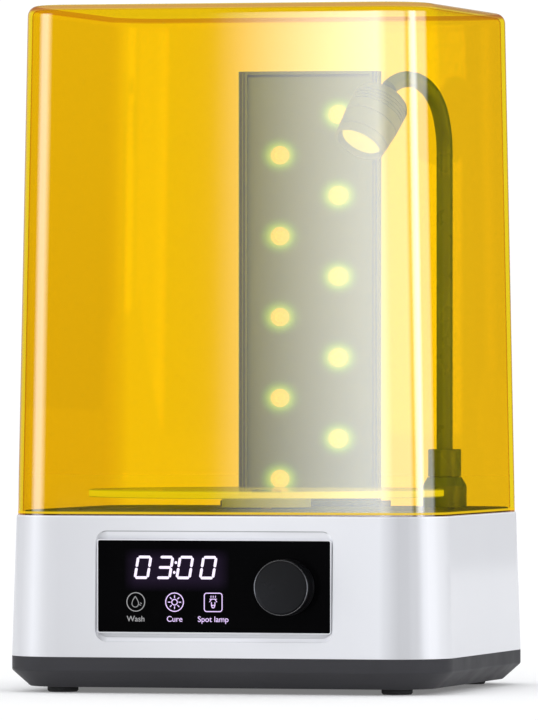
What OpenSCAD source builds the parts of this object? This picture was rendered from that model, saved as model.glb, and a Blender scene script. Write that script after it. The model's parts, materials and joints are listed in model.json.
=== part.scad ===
// Resin wash and cure station: a white base with a display and knob, an amber
// lift-off cover, a lamp tower, a turntable and a flexible spot lamp.
// Millimetres, +Z up, front towards -Y, the feet rest on z = 0.

/* [Base] */
// Width of the base where the white housing meets the grey pan
base_w = 241; // [236:1:246]
// Depth of the base at the same height
base_d = 219; // [217:1:222]
// Plan radius of the base's corners
corner_r = 33; // [30:1:36]
// Inward lean of each housing side from the seam up to the deck
base_draft = 2.4; // [2.0:0.1:2.8]
// Height of the seam between pan and housing
seam_z = 19.2; // [18.5:0.1:20]
// Height of the housing's top, where the cover stands
deck_z = 94.1; // [94:0.1:95]
// Wall thickness of the base mouldings
wall = 3; // [2.5:0.5:3]

/* [Cover] */
// Overall height of the station
top_z = 365; // [362:1:372]
// Wall thickness of the amber cover
cover_wall = 2.5; // [2:0.1:2.6]
// Inward lean of the cover's left and right walls
cover_lean_x = 5.4; // [4:0.2:6]
// Inward lean of the cover's front and back walls
cover_lean_y = 0.9; // [0.5:0.1:1.2]
// Radius rolled over the cover's top edge
cover_roll = 6; // [4:0.5:8]

/* [Turntable] */
// Radius of the clear turntable disc
disc_r = 95.5; // [90:0.5:97]
// Thickness of the disc
disc_t = 4; // [2:0.1:5]
// Radius of the hub that carries the disc
hub_r = 24; // [22:1:28]

/* [Lamp tower] */
// Width of the tower's frame
tower_w = 79; // [76:1:84]
// Height of the tower's top above the table
tower_top = 334.8; // [330:0.1:340]
// Pitch of the emitters along one column
led_pitch = 44.4; // [43:0.1:45]
// Distance between the two columns
led_columns = 33; // [30:1:36]

/* [Spot lamp] */
// Radius of the flexible neck
neck_r = 4.4; // [4:0.1:5]
// Height of the neck's highest point
arch_top = 328.6; // [320:0.1:332]
// Radius of the lamp head
head_r = 15.3; // [14:0.1:16]

/* [Controls] */
// Radius of the knob
knob_r = 15; // [13:0.1:16]
// How far the knob stands out
knob_len = 13.5; // [10:0.5:15]

/* [Hidden] */
$fn = 64;

thin = 0.02;                 // thickness of the slabs that a hull joins
run_gap = 0.05;              // radial running clearance
fit_gap = 0.02;              // clearance of parts fixed to each other
pan_z = 3;                   // underside of the pan
chamfer_z = 11.7;            // top of the pan's slanted edge
chamfer_in = 9.8;            // how far the slanted edge runs in
knob_reach = 107.9 + 0.7 + knob_len;             // front of the knob from the plan centre
back_reach = 110.6;                              // back of the rocker from the plan centre
centre_y = (knob_reach - back_reach) / 2;        // moves the plan centre so the box is centred
housing_top_w = base_w - 2 * base_draft;
housing_top_d = base_d - 2 * base_draft;
housing_top_r = corner_r - base_draft;

// cover
rim_in = 0.7;                                    // the cover's rim stands in from the housing
cover_w = housing_top_w - 2 * rim_in;
cover_d = housing_top_d - 2 * rim_in;
cover_r = housing_top_r - rim_in;

// deck
deck_t = 2.5;
deck_top = deck_z + deck_t;
deck_w = cover_w - 2 * cover_wall - 2.4;
deck_d = cover_d - 2 * cover_wall - 2.4;
deck_r = cover_r - cover_wall - 1.2;

// turntable
spindle_y = -5.5;                                  // the drive axis stands a little forward
disc_z = 103;
hub_z = deck_top + 0.8;
pin_r = 3;
bush_r = 5.5;
magnet_r = 5;
magnet_ring = 15;

// drive under the deck
rotor_top = 88;
rotor_t = 6;
shaft_r = 2;
motor_top = 76;
motor_r = 18;

// control panel
panel_y = -107.9;                                // front face of the panel
panel_t = 2.5;
panel_w = 126.5;
panel_h = 48.4;
panel_x = -2.2;
panel_z = 56.9;
recess_w = 129.5;
recess_h = 58.7;
recess_floor = panel_y + panel_t;
knob_x = 37.9;
board_y = -96;                                   // front face of the display board
stroke = 0.5;                                    // travel of the knob when pressed
stop_gap = 0.4;                                  // what is left when it is fully pressed

// tower
tower_x = -1.8;                                  // the tower stands a little to the left
tower_y = 93;                                    // front of the tower's lips
tower_d = 7.3;
lip = 4.9;
foot_z = deck_top + 3;
led_z = [for (i = [0:4]) 111.2 + i * led_pitch];

// spot lamp: a vertical plane through the socket's axis holds the whole neck
socket_x = 79.3;
socket_y = 75;
lamp_turn = -118.2;                              // bearing of the neck's plane
collar_top = 127.9;
bend_low_z = 134.5;                                // centre of the lower bend
arc_a_r = 60;
arc_a = 20;
arc_b_r = 27.4;
arc_b = 105;
arch_z = arch_top - arc_a_r * sin(arc_a) - arc_b_r * (1 - sin(arc_a));
ball_gap = 0.25;
head_out = arc_a_r * (1 - cos(arc_a)) + arc_b_r * (cos(arc_a) - cos(arc_a + arc_b));
head_z = arch_z + arc_a_r * sin(arc_a) + arc_b_r * (sin(arc_a + arc_b) - sin(arc_a));
head_lean = 142;                                 // head axis, measured from straight up

// fan and connectors on the back wall
fan_x = -60;
fan_z = 57;
fan_side = 40;
fan_y = 94;
fan_t = 10;
inlet_x = 52;
switch_x = 82;
rocker_y = 106.6;
back_z = 48;

screw_xy = [[-102, -50], [102, -50], [-102, 50], [102, 50]];
foot_xy = [[-91.5, -84], [91.5, -84], [-91.5, 84], [91.5, 84]];
display_xz = [[-53.5, 42], [53.5, 42], [-53.5, 72], [53.5, 72]];
board_xy = [[-88, 18], [-12, 18], [-88, 72], [-12, 72]];

// ---------- shared shapes ----------

module place() translate([0, centre_y, 0]) children();

module rounded_rect(w, d, r) {
    square([w - 2 * r, d], center = true);
    square([w, d - 2 * r], center = true);
    for (x = [-1, 1], y = [-1, 1])
        translate([x * (w / 2 - r), y * (d / 2 - r)]) circle(r);
}

module plate(w, d, r, z, t) translate([0, 0, z]) linear_extrude(t) rounded_rect(w, d, r);

// a rounded box whose sides move out by grow from z0 up to z1
module tapered(w, d, r, grow, z0, z1) {
    for (x = [-1, 1], y = [-1, 1])
        translate([x * (w / 2 - r), y * (d / 2 - r), z0]) cylinder(r1 = r, r2 = r + grow, h = z1 - z0);
    rotate([90, 0, 0]) linear_extrude(d - 2 * r, center = true) flare(w, grow, z0, z1);
    rotate([90, 0, 90]) linear_extrude(w - 2 * r, center = true) flare(d, grow, z0, z1);
}

module flare(w, grow, z0, z1)
    polygon([[-w / 2, z0], [w / 2, z0], [w / 2 + grow, z1], [-w / 2 - grow, z1]]);

// four thin discs: the corners of one level of a hull
module level(w, d, r, z)
    for (x = [-1, 1], y = [-1, 1])
        translate([x * (w / 2 - r), y * (d / 2 - r), z]) cylinder(r = r, h = thin, $fn = 80);

module at_spindle(z = 0) translate([0, spindle_y, z]) children();

// a cylinder that runs towards +Y from y
module along_y(r, y, h, r2 = undef)
    translate([0, y, 0]) rotate([-90, 0, 0])
        cylinder(r1 = r, r2 = is_undef(r2) ? r : r2, h = h);

module at_knob() translate([knob_x, 0, panel_z]) children();

module ring_of(n, radius) for (i = [0:n - 1]) rotate(i * 360 / n) translate([radius, 0, 0]) children();

module screw(head_r, head_h, r, length, z) {
    translate([0, 0, z]) cylinder(r = head_r, h = head_h);
    translate([0, 0, z + head_h - thin]) cylinder(r = r, h = length);
}

// ---------- tubes along a path ----------

function unit(v) = v / norm(v);
function course(p, i) = unit(p[min(i + 1, len(p) - 1)] - p[max(i - 1, 0)]);

// one side direction per point, carried along the path without twisting
function carried(p, side, i = 0) = i == len(p) ? [] :
    let (t = course(p, i), u = unit(side - (side * t) * t)) concat([u], carried(p, u, i + 1));

// a point of a smooth curve through four neighbours, at share s between the middle two
function smooth_point(a, b, c, d, s) = 0.5 * (2 * b + (c - a) * s
    + (2 * a - 5 * b + 4 * c - d) * s * s + (3 * b - a - 3 * c + d) * s * s * s);
function smooth_path(p, steps) = concat([for (i = [0:len(p) - 2], s = [0:steps - 1])
    smooth_point(p[max(i - 1, 0)], p[i], p[i + 1], p[min(i + 2, len(p) - 1)], s / steps)], [p[len(p) - 1]]);

// a closed tube with its own radius at each point of the path
module tube(path, radii, sides, side) {
    n = len(path);
    u = carried(path, side);
    rings = [for (i = [0:n - 1], k = [0:sides - 1]) let (v = cross(course(path, i), u[i]), a = 360 * k / sides)
        path[i] + radii[i] * (cos(a) * u[i] + sin(a) * v)];
    walls = [for (i = [0:n - 2], k = [0:sides - 1]) let (a = i * sides + k, b = i * sides + (k + 1) % sides)
        each [[a, a + sides, b], [b, a + sides, b + sides]]];
    ends = [[for (k = [0:sides - 1]) k], [for (k = [0:sides - 1]) n * sides - 1 - k]];
    polyhedron(rings, concat(walls, ends));
}

// ---------- base ----------

module housing_solid(inset, z0, z1) {
    grow = -base_draft * (z1 - z0) / (deck_z - seam_z);
    tapered(base_w - 2 * inset, base_d - 2 * inset, corner_r - inset, grow, z0, z1);
}

module panel_recess(w, h, r, y0, y1, x = panel_x)
    translate([x, y1, panel_z]) rotate([90, 0, 0]) linear_extrude(y1 - y0) rounded_rect(w, h, r);

module housing() color("whitesmoke") difference() {
    union() {
        difference() {
            housing_solid(0, seam_z, deck_z);
            housing_solid(wall, seam_z - 0.5, deck_z - wall);
        }
        // flat backing for the panel, with bosses for the display board
        translate([-69, recess_floor, panel_z - 32]) cube([138, wall, 64]);
        for (p = display_xz) translate([p[0], 0, p[1]])
            along_y(3.5, recess_floor + 1, board_y - recess_floor - 1);
        for (p = screw_xy) translate([p[0], p[1], seam_z]) cylinder(r = 5, h = deck_z - wall - seam_z + 1);
    }
    panel_recess(recess_w, recess_h, 6, -140, recess_floor);
    panel_recess(99, 37, 2, -110, -90, 0);
    for (p = display_xz) translate([p[0], 0, p[1]]) along_y(1.5 + fit_gap, board_y - 5.4, 10);
    for (p = screw_xy) translate([p[0], p[1], seam_z - 1]) cylinder(r = 1.45, h = 20);
    at_spindle(deck_z - 10) cylinder(r = pin_r + fit_gap, h = 20);
    translate([socket_x, socket_y, deck_z - 10]) cylinder(r = 10.02, h = 20);
    for (x = [-1, 1]) translate([tower_x + x * 20, tower_y + 4, deck_z - 10]) cylinder(r = 1.6, h = 20);
    translate([tower_x - 6, tower_y + 2, deck_z - 10]) cube([12, 4, 20]);
    // back wall: fan slots, inlet and switch openings
    for (i = [-3:3])
        translate([fan_x - 17, 95, fan_z + i * 5 - 1.25]) cube([34, 30, 2.5]);
    translate([inlet_x, 0, back_z]) along_y(5.82, 95, 30);
    translate([switch_x - 6.6, 95, back_z - 9.6]) cube([13.2, 30, 19.2]);
    for (x = [-16, 16], z = [-16, 16]) translate([fan_x + x, 0, fan_z + z])
        along_y(1.5 + fit_gap, 95, 11.3);
    // seat of the cover sensor under the cover's rim
    translate([-70, housing_top_d / 2 - 2.9, deck_z - 10]) cylinder(r = 1.5 + fit_gap, h = 20);
}

// the pan's outside, or its inside when inset by the wall
module pan_solid(inset, z0, z1) {
    low = chamfer_in + inset;
    tapered(base_w - 2 * low, base_d - 2 * low, corner_r - low, chamfer_in, z0, chamfer_z);
    plate(base_w - 2 * inset, base_d - 2 * inset, corner_r - inset, chamfer_z, z1 - chamfer_z);
}

module bottom_pan() color("#45444a") difference() {
    union() {
        difference() {
            pan_solid(0, pan_z, seam_z);
            pan_solid(wall, pan_z + wall, seam_z + 1);
        }
        for (p = screw_xy) translate([p[0], p[1], pan_z]) cylinder(r = 6, h = seam_z - pan_z);
    }
    for (p = screw_xy) translate([p[0], p[1], pan_z - 1]) {
        cylinder(r = 3.3, h = 9);
        cylinder(r = 1.7, h = 30);
    }
    for (p = foot_xy) translate([p[0], p[1], pan_z - 1]) cylinder(r = 8.35, h = 2.5);
    // air intake slots
    for (i = [-5:5]) translate([i * 8 - 1.5, -30, 0]) cube([3, 44, 10]);
}

module deck_plate() color("#33353a") difference() {
    plate(deck_w, deck_d, deck_r, deck_z, deck_t);
    at_spindle(deck_z - 1) cylinder(r = pin_r + fit_gap, h = 10);
    translate([socket_x, socket_y, deck_z - 1]) cylinder(r = 10.02, h = 10);
    for (x = [-1, 1]) translate([tower_x + x * 20, tower_y + 4, deck_z - 1]) cylinder(r = 1.6, h = 10);
    translate([tower_x - 6, tower_y + 2, deck_z - 1]) cube([12, 4, 10]);
}

module rubber_feet() color("#1c1c1e")
    for (p = foot_xy) translate([p[0], p[1], 0]) {
        cylinder(r1 = 7.6, r2 = 8.25, h = 1);
        translate([0, 0, 1 - thin]) cylinder(r = 8.25, h = 3.5 + thin);
    }

module base_screws() color("silver")
    for (p = screw_xy) translate([p[0], p[1], 0]) difference() {
        screw(3, 2.2, 1.4, 24, pan_z + 5.8);
        translate([0, 0, pan_z + 5]) cylinder(r = 1.2, h = 2, $fn = 6);
    }

// ---------- control panel ----------

module control_panel() color("#0b0b0c") difference() {
    panel_recess(panel_w, panel_h, 1, panel_y, recess_floor);
    at_knob() along_y(3.6, panel_y - 1, panel_t + 2);
}

module display_module() color("#2a2a2c")
    translate([-48.9, recess_floor + 0.3, 57.4]) cube([52.8, board_y - recess_floor - 0.3, 17.6]);

module display_board() color("#1d5c3a") difference() {
    translate([-57, board_y, 38.5]) cube([114, 1.6, 37]);
    for (p = display_xz) translate([p[0], 0, p[1]]) along_y(1.6, board_y - 1, 4);
}

module display_screws() color("silver")
    for (p = display_xz) translate([p[0], 0, p[1]]) {
        along_y(1.5, board_y - 5, 6.6 + thin);
        along_y(2.6, board_y + 1.6, 1.6);
    }

module encoder_body() color("#3a3a3c") at_knob() difference() {
    union() {
        translate([-6.5, -102.5, -6]) cube([13, 102.5 + board_y, 12]);
        along_y(3.5, -105.3, 3);
    }
    along_y(pin_r + run_gap, -106, 20);
}

module encoder_plunger() color("silver") at_knob() along_y(2, board_y - stroke - stop_gap - 0.8, 0.8);

module encoder_shaft() color("silver") at_knob()
    along_y(pin_r, -(knob_reach - 3), knob_reach - 3 + board_y - stroke - stop_gap - 1.1);

module knob_cap() color("#111112") at_knob() difference() {
    union() {
        along_y(knob_r - 0.9, -knob_reach, 0.9, knob_r);
        along_y(knob_r, -knob_reach + 0.9 - thin, knob_len - 0.9 + thin);
    }
    difference() {
        along_y(knob_r - 2.2, -knob_reach + 2.4, knob_len);
        along_y(5.4, -knob_reach + 2, knob_len - 2);
    }
    along_y(pin_r + fit_gap, -(knob_reach - 3), 30);
}

// ---------- electronics in the base ----------

board_z = 26;

module main_board() color("#1d5c3a") difference() {
    translate([-92, 14, board_z]) cube([84, 62, 1.6]);
    for (p = board_xy) translate([p[0], p[1], board_z - 1]) cylinder(r = 1.6, h = 4);
}

module board_components() color("#26262a") translate([0, 0, board_z + 1.6]) {
    for (i = [0:2]) translate([-78 + i * 15, 24, 0]) cylinder(r = 4, h = 11);
    translate([-40, 40, 0]) cube([12, 12, 1.6]);
    translate([-70, 44, 0]) cube([16, 9, 2.4]);
    translate([-30, 24, 0]) cylinder(r = 6, h = 6);
    for (i = [0:4]) translate([-82 + i * 14, 62, 0]) cube([9, 5, 6]);
}

module board_standoffs() color("#c9a23f")
    for (p = board_xy) translate([p[0], p[1], 0]) difference() {
        translate([0, 0, pan_z + wall]) cylinder(r = 3, h = board_z - pan_z - wall);
        translate([0, 0, board_z - 10]) cylinder(r = 1.5, h = 11);
    }

module board_screws() color("silver")
    for (p = board_xy) translate([p[0], p[1], 0]) {
        translate([0, 0, board_z - 8]) cylinder(r = 1.45, h = 8 + 1.6 + 1);
        translate([0, 0, board_z + 1.6 + thin]) cylinder(r = 2.7, h = 1.8);
    }

// ---------- drive ----------

module drive_motor() color("#8d9096") at_spindle() {
    translate([0, 0, motor_top - 34]) cylinder(r = motor_r, h = 34 - 2);
    difference() {
        translate([0, 0, motor_top - 2]) cylinder(r = motor_r - 1.5, h = 2);
        for (a = [0, 180]) rotate(a) translate([11, 0, motor_top - 3]) cylinder(r = 1.3, h = 4);
        translate([0, 0, motor_top - 3]) cylinder(r = shaft_r + run_gap, h = 4);
    }
}

module motor_bracket() color("#b9bcc1") at_spindle() difference() {
    union() {
        translate([-40, -16, motor_top]) cube([80, 32, 2]);
        for (x = [-1, 1]) {
            translate([x * 39 - 1, -16, motor_top]) cube([2, 32, deck_z - wall - motor_top]);
            translate([x * 45 - 7, -16, deck_z - wall - 2]) cube([14, 32, 2]);
        }
    }
    translate([0, 0, motor_top - 1]) cylinder(r = 6, h = 4);
    for (a = [0, 180]) rotate(a) translate([11, 0, motor_top - 1]) cylinder(r = 1.6, h = 4);
}

module motor_screws() color("silver") at_spindle()
    for (a = [0, 180]) rotate(a) translate([11, 0, 0]) {
        translate([0, 0, motor_top - 2]) cylinder(r = 1.25, h = 4 + thin);
        translate([0, 0, motor_top + 2]) cylinder(r = 2.4, h = 1.5);
    }

module motor_shaft() color("silver") at_spindle(motor_top - 2) cylinder(r = shaft_r, h = rotor_top - motor_top + 1);

module magnet_rotor() color("#dadada") at_spindle() difference() {
    translate([0, 0, rotor_top - rotor_t]) cylinder(r = hub_r, h = rotor_t);
    translate([0, 0, rotor_top - rotor_t - 1]) cylinder(r = shaft_r + fit_gap, h = rotor_t + 2);
    ring_of(4, magnet_ring) translate([0, 0, rotor_top - 3.2]) cylinder(r = magnet_r + fit_gap, h = 4);
}

module rotor_magnets() color("#a8adb3") at_spindle()
    ring_of(4, magnet_ring) translate([0, 0, rotor_top - 3.2]) cylinder(r = magnet_r, h = 3);

module turntable_pin() color("silver") at_spindle() {
    translate([0, 0, deck_z - wall - 2]) cylinder(r = 8, h = 2);
    translate([0, 0, deck_z - wall - thin]) cylinder(r = pin_r, h = disc_z - 1 - deck_z + wall + thin);
}

// ---------- turntable ----------

module turntable_hub() color("#e4e4e6") at_spindle() difference() {
    union() {
        translate([0, 0, hub_z]) cylinder(r = hub_r, h = disc_z - hub_z);
        translate([0, 0, disc_z - 1]) cylinder(r = 8, h = disc_t + 1);
    }
    translate([0, 0, hub_z - 1]) cylinder(r = bush_r + fit_gap, h = disc_z - hub_z + 1);
    ring_of(4, magnet_ring) translate([0, 0, hub_z - 1]) cylinder(r = magnet_r + fit_gap, h = 4.2);
}

module hub_bushing() color("#b8893a") at_spindle() difference() {
    translate([0, 0, hub_z]) cylinder(r = bush_r, h = disc_z - hub_z);
    translate([0, 0, hub_z - 1]) cylinder(r = pin_r + run_gap, h = 20);
}

module hub_magnets() color("#a8adb3") at_spindle()
    ring_of(4, magnet_ring) translate([0, 0, hub_z + 0.2]) cylinder(r = magnet_r, h = 3);

module turntable_disc() color([0.85, 0.9, 0.85, 0.5]) at_spindle(disc_z) difference() {
    union() {
        cylinder(r1 = disc_r - 0.5, r2 = disc_r, h = 0.5);
        translate([0, 0, 0.5 - thin]) cylinder(r = disc_r, h = disc_t - 1 + 2 * thin);
        translate([0, 0, disc_t - 0.5]) cylinder(r1 = disc_r, r2 = disc_r - 0.5, h = 0.5);
    }
    translate([0, 0, -1]) cylinder(r = 8 + fit_gap, h = disc_t + 2);
}

// ---------- fan, inlet, switch, sensor ----------

module at_fan(y = fan_y) translate([fan_x, y, fan_z]) children();

module fan_frame() color("#202022") at_fan() difference() {
    union() {
        difference() {
            translate([-fan_side / 2, 0, -fan_side / 2]) cube([fan_side, fan_t, fan_side]);
            along_y(18.6, -1, fan_t + 2);
        }
        along_y(8, fan_t - 2, 2);
        for (a = [0:3]) rotate([0, 45 + a * 90, 0]) translate([-1, fan_t - 2, 7]) cube([2, 2, 13]);
    }
    for (x = [-16, 16], z = [-16, 16]) translate([x, 0, z]) along_y(1.7, -1, fan_t + 2);
}

module fan_impeller() color("#1a1a1c") at_fan() {
    along_y(8, 0.6, fan_t - 3);
    for (a = [0:6]) rotate([0, a * 360 / 7, 0])
        translate([0, 4.2, 6.5]) rotate([0, 0, 35]) translate([-0.5, -3.2, 0]) cube([1, 6.4, 11]);
}

module fan_screws() color("silver") at_fan()
    for (x = [-16, 16], z = [-16, 16]) translate([x, 0, z]) {
        along_y(1.5, -thin, fan_t + 2);
        along_y(2.8, -1.6, 1.6);
    }

module dc_inlet() color("#161617") translate([inlet_x, 0, back_z]) {
    difference() {
        union() {
            translate([-7, 92, -6]) cube([14, 11.5, 12]);
            along_y(5.8, 103, 6.2);
        }
        along_y(3.2, 98, 20);
    }
}

module rocker_bezel() color("#161617") translate([switch_x, 0, back_z]) difference() {
    union() {
        translate([-6.5, 90, -9.5]) cube([13, 19.2, 19]);
        translate([-8, 109, -11]) cube([16, 1.1, 22]);
    }
    translate([-4.95, 100, -8]) cube([9.9, 12, 16]);
    rotate([0, 90, 0]) translate([0, rocker_y, -8]) cylinder(r = 1.2 + run_gap, h = 16);
}

// a shallow V in side view, turning on a round pin across its middle
module rocker_button() color("#232326") translate([switch_x, rocker_y, back_z]) {
    rotate([0, 90, 0]) translate([0, 0, -6.2]) cylinder(r = 1.2, h = 12.4);
    translate([4.6, 0, 0]) rotate([0, -90, 0]) linear_extrude(9.2)
        polygon([[-6.8, -1.2], [-6.8, 4], [0, 2.6], [6.8, 2.2], [6.8, -1.2], [0, -2]]);
}

module cover_sensor() color("#101012") translate([-70, housing_top_d / 2 - 2.9, 0]) {
    translate([0, 0, deck_z - 8]) cylinder(r = 1.5, h = 8 - 0.4);
    translate([-4, -8, deck_z - wall - 6]) cube([8, 8, 5.9]);
}

// ---------- wiring ----------

// each lead runs from a header on the main board to its own device
header_z = board_z + 1.6 + 6 + thin;
loom_routes = [
    [[-77.5, 64.5, header_z], [-77.5, 64.5, header_z + 2], [-77.5, 64.5, header_z + 4], [-78, 80, 46], [-78.4, 93.8, 47]],
    [[-63.5, 64.5, header_z], [-63.5, 64.5, header_z + 2], [-63.5, 64.5, header_z + 4], [-42, 36, 50],
        [-34, 4, 55], [-18.9, -5.5, 56]],
    [[-49.5, 64.5, header_z], [-49.5, 64.5, header_z + 2], [-49.5, 64.5, header_z + 4], [-20, 82, 68], [-4, 92, 78],
        [tower_x, tower_y + 4, 88], [tower_x, tower_y + 4, 99]],
    [[-35.5, 64.5, header_z], [-35.5, 64.5, header_z + 2], [-35.5, 64.5, header_z + 4], [0, 76, 44], [36, 80, 48],
        [52, 87, 48], [52, 89.5, 48], [52, 91.9, 48]],
    [[-21.5, 64.5, header_z], [-21.5, 64.5, header_z + 2], [-21.5, 64.5, header_z + 4], [30, 58, 54], [70, 66, 60],
        [socket_x, socket_y, 72], [socket_x, socket_y, 84], [socket_x, socket_y, 96]],
];

module wiring_loom() color("#2b2b2e") for (route = loom_routes) {
    path = smooth_path(route, 3);
    tube(path, [for (p = path) 1.4], 8, [0.3, 1, 0.2]);
}

// ---------- lamp tower ----------

module at_tower(z = 0) translate([tower_x, 0, z]) children();

module tower_foot() color("#2c2e33") at_tower() difference() {
    translate([-45, 74, deck_top]) cube([90, tower_y + tower_d - 74, foot_z - deck_top]);
    for (x = [-1, 1]) translate([x * 20, tower_y + 4, deck_top - 1]) cylinder(r = 1.6, h = 10);
    translate([-6, tower_y + 2, deck_top - 1]) cube([12, 4, 10]);
}

// C-shaped extrusion: back wall, two sides and two grooved lips
module tower_frame() color("#8a8d8c") at_tower(foot_z) linear_extrude(tower_top - 2 - foot_z) difference() {
    translate([-tower_w / 2, tower_y]) square([tower_w, tower_d]);
    translate([-tower_w / 2 + lip, tower_y - 1]) square([tower_w - 2 * lip, 2.5]);
    translate([-tower_w / 2 + 2, tower_y + 1.5]) square([tower_w - 4, tower_d - 2.7]);
    for (x = [-1, 1], g = [1.2, 3.0]) translate([x * (tower_w / 2 - g) - 0.4, tower_y - 1]) square([0.8, 1.6]);
}

module tower_cap() color("#8a8d8c") at_tower(tower_top - 2)
    translate([-tower_w / 2, tower_y, 0]) cube([tower_w, tower_d, 2]);

module tower_heat_sink() color("#b4b8bc") at_tower() {
    translate([-36, tower_y + 3.5, foot_z + 2]) cube([72, 1, tower_top - 5 - foot_z]);
    for (i = [-8:8]) translate([i * 4 - 0.5, tower_y + 4.5, foot_z + 2]) cube([1, 1, tower_top - 5 - foot_z]);
}

module led_board() color("#7f8682") at_tower()
    translate([-37, tower_y + 1.9, foot_z + 1]) cube([74, 1.6, tower_top - 4 - foot_z]);

module each_led() at_tower() for (i = [0:4]) {
    translate([-led_columns / 2, 0, led_z[i]]) children();
    translate([led_columns / 2, 0, led_z[i] + led_pitch / 2]) children();
}

module led_emitters() color("#e8e4c8") each_led()
    translate([-2.5, tower_y + 0.5, -2.5]) cube([5, 1.4, 5]);

module led_lenses() color([0.95, 0.95, 0.8, 0.6]) each_led() difference() {
    translate([0, tower_y + 1.9, 0]) rotate([90, 0, 0]) rotate_extrude()
        intersection() {
            translate([0, -1.2]) circle(5);
            square([6, 6]);
        }
    translate([-2.52, tower_y + 0.48, -2.52]) cube([5.04, 2, 5.04]);
}

module tower_screws() color("silver") at_tower()
    for (x = [-1, 1]) translate([x * 20, tower_y + 4, 0]) {
        translate([0, 0, deck_z - wall - 1.8]) cylinder(r = 2.8, h = 1.8);
        translate([0, 0, deck_z - wall - thin]) cylinder(r = 1.5, h = foot_z - deck_z + wall);
    }

// ---------- spot lamp ----------

module at_socket(z = 0) translate([socket_x, socket_y, z]) children();

// the neck's own plane: x runs out along the arch
module neck_plane() at_socket() rotate(lamp_turn) children();

module neck_socket() color("#2b2d31") at_socket() difference() {
    union() {
        translate([0, 0, deck_top]) cylinder(r = 12, h = 11.6);
        translate([0, 0, deck_top + 11.6 - thin]) cylinder(r1 = 12, r2 = 9.3, h = 4.5);
        translate([0, 0, deck_z - wall - 8]) cylinder(r = 10, h = deck_t + wall + 8 + thin);
    }
    translate([0, 0, deck_top + 2]) cylinder(r = 8 + run_gap, h = 20);
    translate([0, 0, deck_z - wall - 9]) cylinder(r = 3.5, h = 30);
}

module socket_nut() color("silver") at_socket(deck_z - wall - 4) difference() {
    cylinder(r = 14, h = 4, $fn = 6);
    translate([0, 0, -1]) cylinder(r = 10 + fit_gap, h = 6);
}

module neck_plug() color("#303236") at_socket() {
    translate([0, 0, deck_top + 2.4]) cylinder(r = 8, h = 14.3);
    translate([0, 0, deck_top + 16.4]) cylinder(r = 9, h = collar_top - 0.6 - deck_top - 16.4);
    translate([0, 0, collar_top - 0.6 - thin]) cylinder(r1 = 9, r2 = 8.4, h = 0.6 + thin);
    cylinder_top = bend_low_z - neck_r - ball_gap;
    translate([0, 0, collar_top - 1]) cylinder(r = neck_r, h = cylinder_top - collar_top + 1);
}

module gooseneck_stem() color("#3b3d42") at_socket() {
    translate([0, 0, bend_low_z]) sphere(neck_r);
    translate([0, 0, bend_low_z]) cylinder(r = neck_r, h = arch_z - neck_r - ball_gap - bend_low_z);
}

// a point of the arch's centre line, t degrees round from straight up
function arch_point(t) = let (a = min(t, arc_a))
    [arc_a_r * (1 - cos(a)), 0, arch_z + arc_a_r * sin(a)] + arc_b_r * [cos(a) - cos(t), 0, sin(t) - sin(a)];

module gooseneck_arch() color("#3b3d42") neck_plane() {
    turn = arc_a + arc_b;
    out = [sin(turn), 0, cos(turn)];
    rounds = [22, 45, 66, 86];
    path = concat([for (i = [3:-1:0]) arch_point(0) - [0, 0, neck_r * sin(rounds[i])]],
                  [for (t = [0:5:turn]) arch_point(t)],
                  [for (a = rounds) arch_point(turn) + neck_r * sin(a) * out]);
    radii = concat([for (i = [3:-1:0]) neck_r * cos(rounds[i])],
                   [for (t = [0:5:turn]) neck_r],
                   [for (a = rounds) neck_r * cos(a)]);
    tube(path, radii, 32, [0, 1, 0]);
}

// z runs out of the lamp's face, from the centre of the ball
module on_head() neck_plane() translate([head_out, 0, head_z]) rotate([0, head_lean, 0]) children();

module lamp_rear_cap() color("#4a4c50") on_head() translate([0, 0, 5.4]) difference() {
    union() {
        cylinder(r1 = 11.6, r2 = head_r, h = 3.4);
        for (i = [0:3]) {
            translate([0, 0, 3.4 - thin + i * 2.2]) cylinder(r = head_r, h = 1.6 + thin);
            translate([0, 0, 3.4 - thin + i * 2.2]) cylinder(r = head_r - 0.6, h = 2.2 + thin);
        }
    }
    translate([0, 0, -1]) cylinder(r1 = 6.9, r2 = 5.6, h = 3.2);
    translate([0, 0, 5]) cylinder(r = head_r - 2.5, h = 20);
}

head_seam = 5.4 + 3.4 + 8.8;                     // where cap and body meet
head_len = 22;                                   // length of the body and bezel

module lamp_body() color("#4a4c50") on_head() translate([0, 0, head_seam]) difference() {
    cylinder(r1 = head_r, r2 = head_r - 0.9, h = head_len - 5);
    translate([0, 0, 2]) cylinder(r = head_r - 3, h = head_len);
    translate([0, 0, -1]) cylinder(r = 3, h = 5);
}

module lamp_bezel() color("#2f3135") on_head() translate([0, 0, head_seam + head_len - 5]) difference() {
    union() {
        cylinder(r1 = head_r - 0.9, r2 = head_r - 1.3, h = 4.2);
        translate([0, 0, 4.2 - thin]) cylinder(r1 = head_r - 1.3, r2 = head_r - 2.1, h = 0.8 + thin);
    }
    translate([0, 0, -1]) cylinder(r = head_r - 4.1, h = 10);
    translate([0, 0, 1.4]) cylinder(r = head_r - 3.3, h = 10);
}

module lamp_lens() color([0.95, 0.95, 0.85, 0.6]) on_head()
    translate([0, 0, head_seam + head_len - 3.6]) cylinder(r = head_r - 3.35, h = 2);

module lamp_emitter() color("#e8e4c8") on_head() translate([0, 0, head_seam + 2]) {
    cylinder(r = 8, h = 1.6, $fn = 6);
    translate([0, 0, 1.6 - thin]) cylinder(r = 3.2, h = 2);
}

// ---------- cover ----------

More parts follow.
